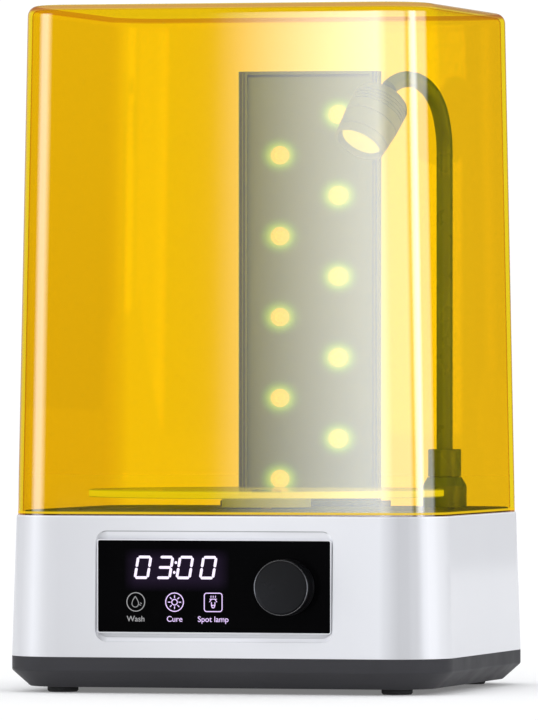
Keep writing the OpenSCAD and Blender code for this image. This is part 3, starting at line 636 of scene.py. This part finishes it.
def housing():
    obj = slab("base_housing", BASE_W, BASE_D, CORNER_R, SEAM_Z, SEAM_Z + 0.6, 28)
    step_in(obj, SEAM_Z + 0.6, DRAFT, DECK_Z - SEAM_Z - 0.6)
    round_edges(obj, lying_at(z=DECK_Z), 0.8, 3)
    edit(obj)
    pick(obj, "faces", lambda f: f.normal.z < -0.9 and f.calc_center_median().z < (SEAM_Z + 0.01) * MM)
    bpy.ops.mesh.delete(type="ONLY_FACE")
    done(obj)
    wall = obj.modifiers.new("wall", "SOLIDIFY")
    wall.thickness, wall.offset, wall.use_even_offset = WALL * MM, -1, True
    apply(obj, wall)
    # a thick wall behind the panel takes the recess, which narrows in curved steps, and the panel's window
    backing = block("backing", (-69, PANEL_Y + PANEL_T, 25), (69, PANEL_Y + PANEL_T + WALL, 89))
    carve(obj, backing, how="UNION")
    recess = block("recess", (PANEL_X - RECESS_W / 2, -125, PANEL_Z - RECESS_H / 2),
                   (PANEL_X + RECESS_W / 2, -107.2, PANEL_Z + RECESS_H / 2))
    round_edges(recess, front_to_back, 6, 10)
    edit(recess)
    steps = ((0.35, 0.997, 0.982), (0.45, 0.997, 0.966), (0.45, 0.998, 0.950), (0.35, 0.999, 0.937),
             (0.2, 0.9995, 0.983))
    for depth, across, up in steps:
        deepest = max(v.co.y for v in bmesh.from_edit_mesh(recess.data).verts)
        pick(recess, "faces", lambda f: f.normal.y > 0.9 and f.calc_center_median().y > deepest - 0.001 * MM)
        bpy.ops.mesh.extrude_region_move(TRANSFORM_OT_translate={"value": (0, depth * MM, 0)})
        bpy.ops.transform.resize(value=(across, 1, up), center_override=at(PANEL_X, 0, PANEL_Z))
    done(recess)
    window = block("window", (-WINDOW_W / 2, -110, PANEL_Z - WINDOW_H / 2),
                   (WINDOW_W / 2, -90, PANEL_Z + WINDOW_H / 2))
    carve(obj, recess, window)
    # back wall: fan slots, inlet and switch openings
    for i in range(-3, 4):
        z = VENT_Z + i * VENT_PITCH
        slot = block("slot", (VENT_X - VENT_LENGTH / 2, 100, z - VENT_SLIT / 2),
                     (VENT_X + VENT_LENGTH / 2, 120, z + VENT_SLIT / 2))
        round_edges(slot, front_to_back, 1.2, 5)
        carve(obj, slot)
    inlet = place(rod("inlet", 5.9, 95, 125, 48), facing_back(INLET_X, FITTING_Z))
    switch = fitting("switch", 6.7, 9.7, 95, 125)
    # holes in the top for the turntable's pin and the neck's socket
    spindle = place(rod("spindle", 3.1, 80, 105, 32), around(0, SPINDLE_Y))
    socket = place(rod("socket", 10.1, 80, 105, 48), around(SOCKET_X, SOCKET_Y))
    carve(obj, inlet, switch, spindle, socket)
    return fit_out(obj, "base", WHITE, "white_shell", "housing", angle=25)


housing()


def pan():
    obj = slab("base_pan", BASE_W, BASE_D, CORNER_R, CHAMFER_Z, SEAM_Z - 0.05, 28)
    step_in(obj, CHAMFER_Z, CHAMFER_IN, CHAMFER_Z - PAN_Z)
    round_edges(obj, lying_at(z=CHAMFER_Z), 0.7, 3)
    round_edges(obj, lying_at(z=PAN_Z), 0.6, 3)
    for x, y in QUARTERS:
        well = place(rod("well", 3.3, PAN_Z - 1, 11, 32), around(x * SCREW_X, y * SCREW_Y))
        seat = place(rod("seat", FOOT_R + 0.15, PAN_Z - 1, PAN_Z + 1.5, 48), around(x * FOOT_X, y * FOOT_Y))
        carve(obj, well, seat)
    for i in range(-5, 6):
        slot = block("slot", (i * 8 - 1.5, -30, 0), (i * 8 + 1.5, 14, 12))
        round_edges(slot, upright, 1.45, 5)
        carve(obj, slot)
    return fit_out(obj, "base", GREY, "grey_pan", "bottom_pan", angle=25)


pan()


def feet():
    profile = [(0, 0.5), (5.4, 0.5), (5.9, 0.0), (7.2, 0.0), (7.7, 0.25), (FOOT_R, 1.0), (FOOT_R, 4.4),
               (0, 4.4)]
    foot = place(turned("foot", profile, 48), around(0, 0))
    pads = joined("rubber_foot_pads", copies(foot, [(x * FOOT_X, y * FOOT_Y, 0) for x, y in QUARTERS]))
    return fit_out(pads, "base", RUBBER, "black_rubber", "rubber_feet")


feet()


def deck():
    obj = slab("deck_tray", 227.4, 205.4, 26.2, DECK_Z, TRAY_Z, 24)
    round_edges(obj, lying_at(z=TRAY_Z), 0.6, 3)
    groove = turned("groove", [(99.4, 96.0), (101.2, 96.0), (101.2, 99), (99.4, 99)], 128, closed=True)
    well = turned("well", [(0, 96.0), (27, 96.0), (27.6, 97), (0, 97)], 96)
    carve(obj, place(groove, around(0, SPINDLE_Y)), place(well, around(0, SPINDLE_Y)))
    return fit_out(obj, "base", DECK, "dark_deck", "deck_plate")


deck()

# ---------------------------------------------------------------- control panel


def panel():
    half_w, half_h = PANEL_W / 2, PANEL_H / 2

    def sheet(name, grow, y0, y1):
        return block(name, (PANEL_X - half_w - grow, y0, PANEL_Z - half_h - grow),
                     (PANEL_X + half_w + grow, y1, PANEL_Z + half_h + grow))

    obj = sheet("panel_glass", 0, PANEL_Y, PANEL_Y + PANEL_T)
    round_edges(obj, front_to_back, 1.0, 6)
    round_edges(obj, lying_at(y=PANEL_Y), 0.25, 2)
    bore = place(rod("bore", 3.6, -5, 5, 48), facing_front(KNOB_X, PANEL_Y, PANEL_Z))
    carve(obj, bore)
    fit_out(obj, "base", PANEL, "panel_black", "control_panel")
    rim = sheet("panel_rim", 0.7, PANEL_Y - 0.15, PANEL_Y + PANEL_T - 0.05)
    round_edges(rim, front_to_back, 1.6, 6)
    hole = sheet("hole", 0.05, -120, -90)
    round_edges(hole, front_to_back, 1.0, 6)
    carve(rim, hole)
    soften(rim, 0.12, 2)
    return fit_out(rim, "base", WHITE, "white_shell")


panel()
INK_Y = PANEL_Y - 0.03


def flat(obj):
    """Gives a flat outline in the XZ plane a small thickness towards the front."""
    edit(obj)
    bpy.ops.mesh.select_all(action="SELECT")
    bpy.ops.mesh.extrude_region_move(TRANSFORM_OT_translate={"value": (0, -0.06 * MM, 0)})
    bpy.ops.mesh.select_all(action="SELECT")
    bpy.ops.mesh.normals_make_consistent(inside=False)
    return done(obj)


def bar(x, z, length, thick, turn=0.0):
    """A segment bar with pointed ends, lying in the XZ plane."""
    bpy.ops.object.select_all(action="DESELECT")
    bpy.ops.mesh.primitive_cube_add(size=1, scale=(length * MM, 0.04 * MM, thick * MM))
    obj = bpy.context.object
    bpy.ops.object.transform_apply(location=False, rotation=False, scale=True)
    round_edges(obj, front_to_back, thick * 0.46, 2)
    return place(obj, Matrix.Translation(at(x, INK_Y, z)) @ Matrix.Rotation(math.radians(turn), 4, "Y"))


# each bar of a digit: half widths across, half heights up, turn in degrees
SEGMENTS = {"a": (0, 1, 0), "g": (0, 0, 0), "d": (0, -1, 0), "f": (-1, 0.5, 90), "b": (1, 0.5, 90),
            "e": (-1, -0.5, 90), "c": (1, -0.5, 90)}
LIT_SEGMENTS = {"0": "abcdef", "3": "abgcd"}
DIGITS = (("0", -40.9), ("3", -28.9), ("0", -18.0), ("0", -5.2))
DIGIT_Z, DIGIT_W, DIGIT_H, STROKE, SLANT, COLON_X = 66.9, 6.9, 10.9, 1.45, 0.17, -23.3


def digits():
    parts = []
    lean = math.degrees(math.atan(SLANT))
    for digit, x in DIGITS:
        for name in LIT_SEGMENTS[digit]:
            sx, sz, turn = SEGMENTS[name]
            up = sz * DIGIT_H / 2
            length = (DIGIT_H / 2 if turn else DIGIT_W) - 0.35
            across = x + sx * DIGIT_W / 2 + SLANT * up
            parts.append(bar(across, DIGIT_Z + up, length, STROKE, turn and turn + lean))
    for up in (-2.6, 2.6):
        parts.append(bar(COLON_X + SLANT * up, DIGIT_Z + up, 1.5, 1.5))
    return fit_out(joined("display_digits", parts), "base", LIT, "display_dark")


digits()


def hollow(obj, x, z, width):
    """Turns the face of a flat outline into a line of the given width and puts it on the panel."""
    edit(obj)
    bpy.ops.mesh.select_all(action="SELECT")
    bpy.ops.mesh.inset(thickness=width * MM)
    bpy.ops.mesh.delete(type="FACE")
    done(obj)
    place(obj, facing_front(x, INK_Y, z))
    return flat(obj)


def loop(x, z, radius, width, corner=None):
    """A flat ring, or a rounded square frame when corner is given."""
    bpy.ops.object.select_all(action="DESELECT")
    if corner is None:
        bpy.ops.mesh.primitive_circle_add(radius=radius * MM, vertices=56, fill_type="NGON")
        obj = bpy.context.object
    else:
        bpy.ops.mesh.primitive_plane_add(size=2 * radius * MM)
        obj = bpy.context.object
        edit(obj, "VERT")
        bpy.ops.mesh.select_all(action="SELECT")
        bpy.ops.mesh.bevel(offset=corner * MM, segments=8, affect="VERTICES")
        done(obj)
    return hollow(obj, x, z, width)


def drop(x, z, size):
    """The outline of a water drop."""
    bpy.ops.object.select_all(action="DESELECT")
    bpy.ops.mesh.primitive_circle_add(radius=size * MM, vertices=40, fill_type="NGON")
    obj = bpy.context.object
    edit(obj, "VERT")
    pick(obj, "verts", lambda v: v.co.y > 0.999 * size * MM)
    bpy.ops.transform.translate(value=(0, size * 1.05 * MM, 0), use_proportional_edit=True,
                                proportional_edit_falloff="SHARP", proportional_size=size * 1.5 * MM)
    bpy.ops.mesh.select_all(action="SELECT")
    bpy.ops.mesh.select_mode(type="FACE")
    done(obj)
    return hollow(obj, x, z, 0.34)


ICON_Z, CAPTION_Z = 48.6, 39.6
ICON_X = (-44.8, -23.6, -2.5)


def icons():
    wash = [loop(ICON_X[0], ICON_Z, 5.1, 0.42), drop(ICON_X[0] - 0.3, ICON_Z - 0.9, 2.0)]
    wash += [bar(ICON_X[0] + 2.3 + i * 0.5, ICON_Z - 1.6 + i * 0.9, 1.1, 0.34, 30) for i in range(2)]
    cure = [loop(ICON_X[1], ICON_Z, 5.1, 0.5), loop(ICON_X[1], ICON_Z, 1.75, 0.5)]
    for k in range(8):
        a = math.radians(k * 45)
        cure.append(bar(ICON_X[1] + 2.9 * math.cos(a), ICON_Z + 2.9 * math.sin(a), 1.5, 0.5, -k * 45))
    spot = [loop(ICON_X[2], ICON_Z, 5.1, 0.5, corner=1.6), loop(ICON_X[2], ICON_Z - 2.2, 0.95, 0.45)]
    spot += [bar(ICON_X[2] + s * 0.95, ICON_Z - 0.9, 2.2, 0.45, 90) for s in (-1, 1)]
    spot += [bar(ICON_X[2] + s * 1.5, ICON_Z + 0.9, 1.9, 0.45, 55 * s) for s in (-1, 1)]
    spot += [bar(ICON_X[2], ICON_Z + 1.7, 4.0, 0.45)]
    spot += [bar(ICON_X[2] + s * 1.2, ICON_Z + 3.0, 1.1, 0.4, 90) for s in (-1, 0, 1)]
    fit_out(joined("icon_wash", wash), "base", DIM, "display_dark")
    fit_out(joined("icon_cure", cure), "base", VIOLET, "display_dark")
    fit_out(joined("icon_spot", spot), "base", VIOLET, "display_dark")


icons()


def caption(word, x, material):
    bpy.ops.object.select_all(action="DESELECT")
    bpy.ops.object.text_add()
    obj = bpy.context.object
    obj.data.body = word
    obj.data.size = 4.2 * MM
    obj.data.align_x = "CENTER"
    obj.data.offset = 0.02 * MM
    obj.data.extrude = 0.02 * MM
    bpy.ops.object.convert(target="MESH")
    obj = bpy.context.object
    obj.name = "caption_" + word.lower().replace(" ", "_")
    place(obj, facing_front(x, INK_Y, CAPTION_Z - 1.3))
    return fit_out(obj, "base", material, "display_dark")


caption("Wash", ICON_X[0], DIM)
caption("Cure", ICON_X[1], VIOLET)
caption("Spot lamp", ICON_X[2], VIOLET)


def knob():
    """The cap has fine grooves round its side: every second row of points is drawn in a little."""
    depth, r = KNOB_BACK - KNOB_FRONT, KNOB_R
    profile = [(0, depth - 0.25), (r - 1.9, depth - 0.25), (r - 1.0, depth - 0.05), (r - 0.85, depth - 0.35),
               (r - 0.65, depth - 0.35), (r - 0.15, depth - 1.1), (r - 0.15, 2.2), (r, 2.0), (r, 0.2),
               (r - 0.2, 0), (r - 2.2, 0), (r - 2.2, depth - 2.6), (3.02, depth - 2.6), (3.02, depth - 3.2),
               (0, depth - 3.2)]
    cap = turned("knob_cap_turned", profile, 120)
    edit(cap)
    pick(cap, "verts", lambda v: abs(math.hypot(v.co.x, v.co.y) - (r - 0.15) * MM) < 0.002 * MM
         and round(math.degrees(math.atan2(v.co.y, v.co.x)) / 3) % 2 == 0)
    bpy.ops.transform.resize(value=(0.993, 0.993, 1), center_override=(0, 0, 0))
    done(cap)
    place(cap, facing_front(KNOB_X, KNOB_BACK, PANEL_Z))
    fit_out(cap, "knob", KNOB, "knob_black", "knob_cap", angle=30)
    ring = turned("knob_edge_ring", [(r - 0.85, depth - 0.5), (r - 0.85, depth - 0.12), (r - 0.65, depth),
                                     (r - 0.45, depth - 0.1), (r - 0.4, depth - 0.6)], 120, closed=True)
    place(ring, facing_front(KNOB_X, KNOB_BACK, PANEL_Z))
    return fit_out(ring, "knob", KNOB_EDGE, "knob_black")


knob()

# ---------------------------------------------------------------- cover


def cover():
    obj = slab("amber_cover", COVER_W, COVER_D, COVER_R, DECK_Z, TOP_Z, 32)
    edit(obj)
    pick(obj, "verts", lambda v: v.co.z > (TOP_Z - 1) * MM)
    bpy.ops.transform.resize(value=(1 - 2 * LEAN_X / COVER_W, 1 - 2 * LEAN_Y / COVER_D, 1),
                             center_override=at(0, 0, TOP_Z))
    done(obj)
    round_edges(obj, lying_at(z=TOP_Z), ROLL - 0.5, 8)
    edit(obj)
    pick(obj, "faces", lambda f: f.normal.z < -0.9)
    bpy.ops.mesh.delete(type="ONLY_FACE")
    done(obj)
    wall = obj.modifiers.new("wall", "SOLIDIFY")
    wall.thickness, wall.offset, wall.use_even_offset = COVER_WALL * MM, -1, True
    apply(obj, wall)
    return fit_out(obj, "cover", AMBER, "amber_acrylic", "cover_shell", angle=30)


cover()

# ---------------------------------------------------------------- turntable


def turntable():
    profile = [(0, DISC_Z), (DISC_R - 0.5, DISC_Z), (DISC_R, DISC_Z + 0.5), (DISC_R, DISC_Z + DISC_T - 0.5),
               (DISC_R - 0.5, DISC_Z + DISC_T), (0, DISC_Z + DISC_T)]
    disc = place(turned("turntable_plate", profile, 160), around(0, SPINDLE_Y))
    fit_out(disc, "turntable", CLEAR, "clear_acrylic", "turntable_disc")


turntable()

# ---------------------------------------------------------------- lamp tower


def tower():
    half, back = TOWER_W / 2, TOWER_Y + TOWER_D

    def part(name, x0, x1, y0, y1, z0, z1):
        return block(name, (TOWER_X + x0, y0, z0), (TOWER_X + x1, y1, z1))

    obj = part("tower_channel", -half, half, TOWER_Y, back, SHOE_TOP, TOWER_TOP)
    bay = part("bay", -half + 4.9, half - 4.9, TOWER_Y - 1, TOWER_Y + 1.7, SHOE_TOP - 1, TOWER_TOP - 1.8)
    room = part("room", -half + 2, half - 2, TOWER_Y + 1.5, back - 1.2, SHOE_TOP - 1, TOWER_TOP - 1.8)
    lines = [s * (half - g) for s in (-1, 1) for g in (1.3, 3.1)]
    grooves = [part("groove", x - 0.4, x + 0.4, TOWER_Y - 1, TOWER_Y + 0.7, SHOE_TOP - 1, TOWER_TOP + 1)
               for x in lines]
    carve(obj, bay, room, *grooves)
    soften(obj, 0.15, 2)
    fit_out(obj, "base", TOWER, "tower_aluminium", "tower_frame", "tower_cap")
    # painted shadow: thin black strips set in the grooves stand in for the shade inside them
    groove_shadows = [part("groove_shadow", x - 0.35, x + 0.35, TOWER_Y + 0.2, TOWER_Y + 0.66, SHOE_TOP + 0.5, TOWER_TOP - 0.5)
             for x in lines]
    fit_out(joined("tower_groove_shadows", groove_shadows), "base", BLACK, "black_plastic")
    foot = part("tower_shoe", -45, 45, 74, back, TRAY_Z, SHOE_TOP)
    soften(foot, 0.5, 3)
    fit_out(foot, "base", DECK, "dark_deck", "tower_foot")
    board = part("emitter_board", -37, 37, BOARD_Y, BOARD_Y + 1.6, SHOE_TOP + 1, TOWER_TOP - 3)
    soften(board, 0.1, 1)
    fit_out(board, "base", LED_BOARD, "led_board_grey", "led_board")
    profile = [(0, 3.8), (1.4, 3.6), (2.8, 2.95), (4.0, 1.9), (4.75, 0.6), (5.0, 0.25), (5.0, 0), (0, 0)]
    dome = turned("dome", profile, 40)
    chip = turned("chip", [(0, 1.25), (2.2, 1.25), (2.7, 0.9), (2.7, 0.0), (0, 0.0)], 24)
    spots = [(-LED_X, 0, LED_FIRST + i * LED_PITCH) for i in range(5)]
    spots += [(LED_X, 0, LED_FIRST + (i + 0.5) * LED_PITCH) for i in range(5)]
    domes = joined("emitter_domes", copies(place(dome, facing_front(TOWER_X, BOARD_Y, 0)), spots))
    fit_out(domes, "base", DOME, "lens_clear", "led_lenses")
    chips = joined("emitter_chips", copies(place(chip, facing_front(TOWER_X, BOARD_Y, 0)), spots))
    fit_out(chips, "base", EMITTER, "emitter", "led_emitters")


tower()

# ---------------------------------------------------------------- spot lamp


def hose(name, z0, z1, arch):
    """The flexible neck: a ring drawn up in steps, then swept round the two bends of the arch."""
    bpy.ops.object.select_all(action="DESELECT")
    bpy.ops.mesh.primitive_circle_add(radius=NECK_R * MM, vertices=36, location=(0, 0, z0 * MM))
    obj = bpy.context.object
    obj.name = name
    bpy.ops.object.transform_apply(location=True, rotation=False, scale=False)
    edit(obj, "VERT")
    bpy.ops.mesh.select_all(action="SELECT")
    count = 24
    for _ in range(count):
        bpy.ops.mesh.extrude_region_move(TRANSFORM_OT_translate={"value": (0, 0, (z1 - z0) * MM / count)})
    if arch:
        a, b = math.radians(ARC_A), math.radians(ARC_B)
        bpy.ops.mesh.spin(steps=8, angle=-a, center=(ARC_A_R * MM, 0, z1 * MM), axis=(0, 1, 0))
        cx = ARC_A_R * (1 - math.cos(a)) + ARC_B_R * math.cos(a)
        cz = z1 + (ARC_A_R - ARC_B_R) * math.sin(a)
        bpy.ops.mesh.spin(steps=24, angle=-b, center=(cx * MM, 0, cz * MM), axis=(0, 1, 0))
    bpy.ops.mesh.select_all(action="DESELECT")
    bpy.ops.mesh.select_mode(type="EDGE")
    bpy.ops.mesh.select_non_manifold(extend=False)
    bpy.ops.mesh.edge_face_add()
    bpy.ops.mesh.select_all(action="SELECT")
    bpy.ops.mesh.normals_make_consistent(inside=False)
    done(obj)
    return place(obj, around(SOCKET_X, SOCKET_Y) @ Matrix.Rotation(math.radians(NECK_BEARING), 4, "Z"))


def bent(obj, node):
    """Finishes a length of hose: smooths it, gives it the neck's material, hides its part and bakes its place
    into the mesh.
    """
    smooth(obj)
    obj.data.materials.append(NECK)
    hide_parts(node)
    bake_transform(obj)


def neck():
    profile = [(0, 83.2), (9.9, 83.2), (9.9, TRAY_Z), (12, TRAY_Z), (12, 107.5), (11.8, 108.4), (9.7, 112.0),
               (9.2, 112.7), (8.05, 112.7), (8.05, 98.6), (0, 98.6)]
    socket = place(turned("socket_body", profile, 64), around(SOCKET_X, SOCKET_Y))
    fit_out(socket, "base", NECK, "dark_deck", "neck_socket")
    top = COLLAR_TOP
    profile = [(0, 99), (8.0, 99), (8.0, 113.0), (8.8, 113.0), (9.0, 113.2), (9.0, top - 0.6),
               (8.8, top - 0.2), (8.4, top), (4.45, top), (4.45, top - 1), (0, top - 1)]
    collar = place(turned("neck_collar", profile, 64), around(SOCKET_X, SOCKET_Y))
    fit_out(collar, "neck_base", NECK, "dark_deck", "neck_plug")
    lower = hose("neck_hose_lower", top - 0.9, HOSE_SPLIT, False)
    bent(lower, "gooseneck_stem")
    upper = hose("neck_hose_upper", HOSE_SPLIT, ARCH_Z, True)
    bent(upper, "gooseneck_arch")


neck()


def head_place():
    """Puts a shape made along +Z, with its origin at the ball joint, on the lamp head's axis."""
    a, b = math.radians(ARC_A), math.radians(ARC_A + ARC_B)
    out = ARC_A_R * (1 - math.cos(a)) + ARC_B_R * (math.cos(a) - math.cos(b))
    up = ARCH_Z + ARC_A_R * math.sin(a) + ARC_B_R * (math.sin(b) - math.sin(a))
    turn = Matrix.Rotation(math.radians(NECK_BEARING), 4, "Z")
    return (around(SOCKET_X, SOCKET_Y) @ turn @ Matrix.Translation(Vector((out, 0, up)) * MM)
            @ Matrix.Rotation(math.radians(HEAD_LEAN), 4, "Y"))


def on_head(name, profile, segments, material, slot, node, closed=False):
    shape = place(turned(name, profile, segments, closed=closed), head_place())
    fit_out(shape, "lamp_head", material, slot, node)


def lamp_head():
    r = HEAD_R
    rear = [(5.0, 6.6), (6.4, 5.6), (9.5, 5.5), (12.0, 6.3), (14.1, 8.0), (r - 0.1, 10.2)]
    z = 10.8
    for _ in range(4):
        rear += [(r, z), (r, z + 1.25), (r - 0.55, z + 1.45), (r - 0.55, z + 1.75)]
        z += 1.95
    rear += [(r, z), (r - 0.05, 24.2), (r - 0.35, 24.5), (12.5, 24.5), (12.5, 12), (5.0, 8.5)]
    on_head("lamp_rear", rear, 72, LAMP, "lamp_dark", "lamp_rear_cap", closed=True)
    barrel = [(r - 0.45, 24.7), (r - 0.15, 25.0), (r - 0.85, 34.3), (r - 1.1, 34.6), (12.3, 34.6),
              (12.3, 24.7)]
    on_head("lamp_barrel", barrel, 72, LAMP, "lamp_dark", "lamp_body", closed=True)
    ring = [(r - 1.15, 34.8), (r - 0.95, 35.1), (r - 1.35, 39.0), (r - 1.9, 39.6), (r - 2.7, 39.6),
            (r - 3.0, 39.0), (r - 3.1, 38.0), (11.0, 36.6), (11.0, 34.8)]
    on_head("lamp_ring", ring, 72, LAMP, "lamp_dark", "lamp_bezel", closed=True)
    glass = [(0, 38.4), (9, 38.3), (12.0, 37.95), (12.0, 37.2), (0, 37.2)]
    on_head("lamp_glass", glass, 64, LENS, "lens_clear", "lamp_lens")
    cup = [(0, 33.2), (2.2, 33.3), (4.0, 33.8), (8.0, 35.0), (11.5, 36.9), (12.1, 36.9), (8.4, 34.2),
           (4.2, 32.9), (0, 32.5)]
    on_head("lamp_reflector", cup, 64, LAMP_LIGHT, "emitter", "lamp_emitter")


lamp_head()

# ---------------------------------------------------------------- back wall fittings


def back_fittings():
    bezel = fitting("rocker_frame", 8, 11, 108.6, 110.1)
    carve(bezel, fitting("body", 6.5, 9.5, 90, 108.9), how="UNION")
    carve(bezel, fitting("pocket", 4.95, 8, 100, 115))
    soften(bezel, 0.35, 3)
    fit_out(bezel, "base", BLACK, "black_plastic", "rocker_bezel")
    profile = [(3.2, 98), (3.2, 108.9), (3.6, 109.2), (5.3, 109.2), (5.8, 108.8), (5.8, 103), (7.0, 103),
               (7.0, 92), (0, 92), (0, 98)]
    inlet = place(turned("inlet_socket", profile, 56), facing_back(INLET_X, FITTING_Z))
    fit_out(inlet, "base", BLACK, "black_plastic", "dc_inlet")
    pin = turned("inlet_pin", [(0, 97.5), (1.0, 97.5), (1.0, 106.2), (0.6, 106.8), (0, 106.8)], 24)
    fit_out(place(pin, facing_back(INLET_X, FITTING_Z)), "base", STEEL, "screw_steel")


back_fittings()

# ---------------------------------------------------------------- floor, light, camera

stage_white = moulded("stage_white", (0.80, 0.80, 0.803), 0.7, grain=3.0, depth=0.0, spread=0.004,
                      specular=0.0)
glow = stage_white.node_tree.nodes["Principled BSDF"].inputs
glow["Emission Color"].default_value = (1, 1, 1, 1)
glow["Emission Strength"].default_value = 0.18
bpy.ops.object.select_all(action="DESELECT")
bpy.ops.mesh.primitive_plane_add(size=18)
floor = bpy.context.object
floor.name = "floor"
floor.data.materials.append(stage_white)

# four bearings in degrees, to the right of straight ahead: soft edge, full, full, soft edge; then the strength
SOFT_BOXES = [(-14.84, -13.83, -6, 16, 5.5), (-6, 16, 52, 62, 2.9), (60, 69, 76, 84, 6.0),
              (70, 80, 104, 112, 2.4), (-86, -74, -62, -48, 3.3), (-179, -170, -150, -120, 0.5)]
ROOM_LIGHT, BACKDROP = 1.1, 1.04


def studio():
    """White all round. Glossy surfaces see tall soft boxes instead, placed by bearing from the front."""
    world = bpy.data.worlds.new("studio")
    bpy.context.scene.world = world
    world.use_nodes = True
    tree = world.node_tree
    tree.nodes.clear()

    def node(kind, *links, **values):
        made = tree.nodes.new("ShaderNode" + kind)
        for key, value in values.items():
            setattr(made, key, value)
        for socket, source in links:
            if isinstance(source, (int, float, tuple)):
                made.inputs[socket].default_value = source
            else:
                tree.links.new(source, made.inputs[socket])
        return made.outputs[0] if made.outputs else made

    def box(low0, low1, high0, high1, strength):
        """Full between the bearings low1 and high0, soft out to low0 and high1."""
        rise = node("MapRange", (0, bearing), (1, low0), (2, low1), (3, 0.0), (4, strength))
        fall = node("MapRange", (0, bearing), (1, high0), (2, high1), (3, 1.0), (4, 0.0))
        return node("Math", (0, rise), (1, fall), operation="MULTIPLY")

    way = node("TexCoord")
    split = tree.nodes.new("ShaderNodeSeparateXYZ")
    tree.links.new(way, split.inputs[0])
    back = node("Math", (0, split.outputs[1]), (1, -1.0), operation="MULTIPLY")
    turn = node("Math", (0, split.outputs[0]), (1, back), operation="ARCTAN2")
    bearing = node("Math", (0, turn), (1, 180 / math.pi), operation="MULTIPLY")
    light = 0.0
    for shape in SOFT_BOXES:
        light = node("Math", (0, light), (1, box(*shape)), operation="ADD")
    level = node("MapRange", (0, split.outputs[2]), (1, 0.16), (2, 0.30), (3, 1.0), (4, 0.0))
    light = node("Math", (0, light), (1, level), operation="MULTIPLY")
    light = node("Math", (0, light), (1, 0.03), operation="ADD")
    mirrored = node("Background", ("Color", (0.88, 0.93, 1.05, 1)), ("Strength", light))
    room = node("Background", ("Color", (0.97, 0.98, 1, 1)), ("Strength", ROOM_LIGHT))
    seen = node("Background", ("Color", (1, 1, 1, 1)), ("Strength", BACKDROP))
    rays = tree.nodes.new("ShaderNodeLightPath")
    first = node("MixShader", (0, rays.outputs["Is Glossy Ray"]), (1, room), (2, mirrored))
    second = node("MixShader", (0, rays.outputs["Is Camera Ray"]), (1, first), (2, seen))
    node("OutputWorld", ("Surface", second))


studio()

CAMERA_TURN, CAMERA_FAR, CAMERA_UP = math.radians(14.5), 5.05, 0.1766
CENTRE = Vector((0, PLAN_Y, 0))
camera_data = bpy.data.cameras.new("camera")
camera_data.lens = 468.9
camera_data.sensor_width = 36
camera_data.shift_y = -0.0004
camera = bpy.data.objects.new("camera", camera_data)
bpy.context.collection.objects.link(camera)
camera.location = CENTRE + Vector((CAMERA_FAR * math.sin(CAMERA_TURN), -CAMERA_FAR * math.cos(CAMERA_TURN),
                                   CAMERA_UP))
camera.rotation_euler = (math.radians(90), 0, CAMERA_TURN)
bpy.context.scene.camera = camera
bpy.context.scene.view_settings.view_transform = "Standard"
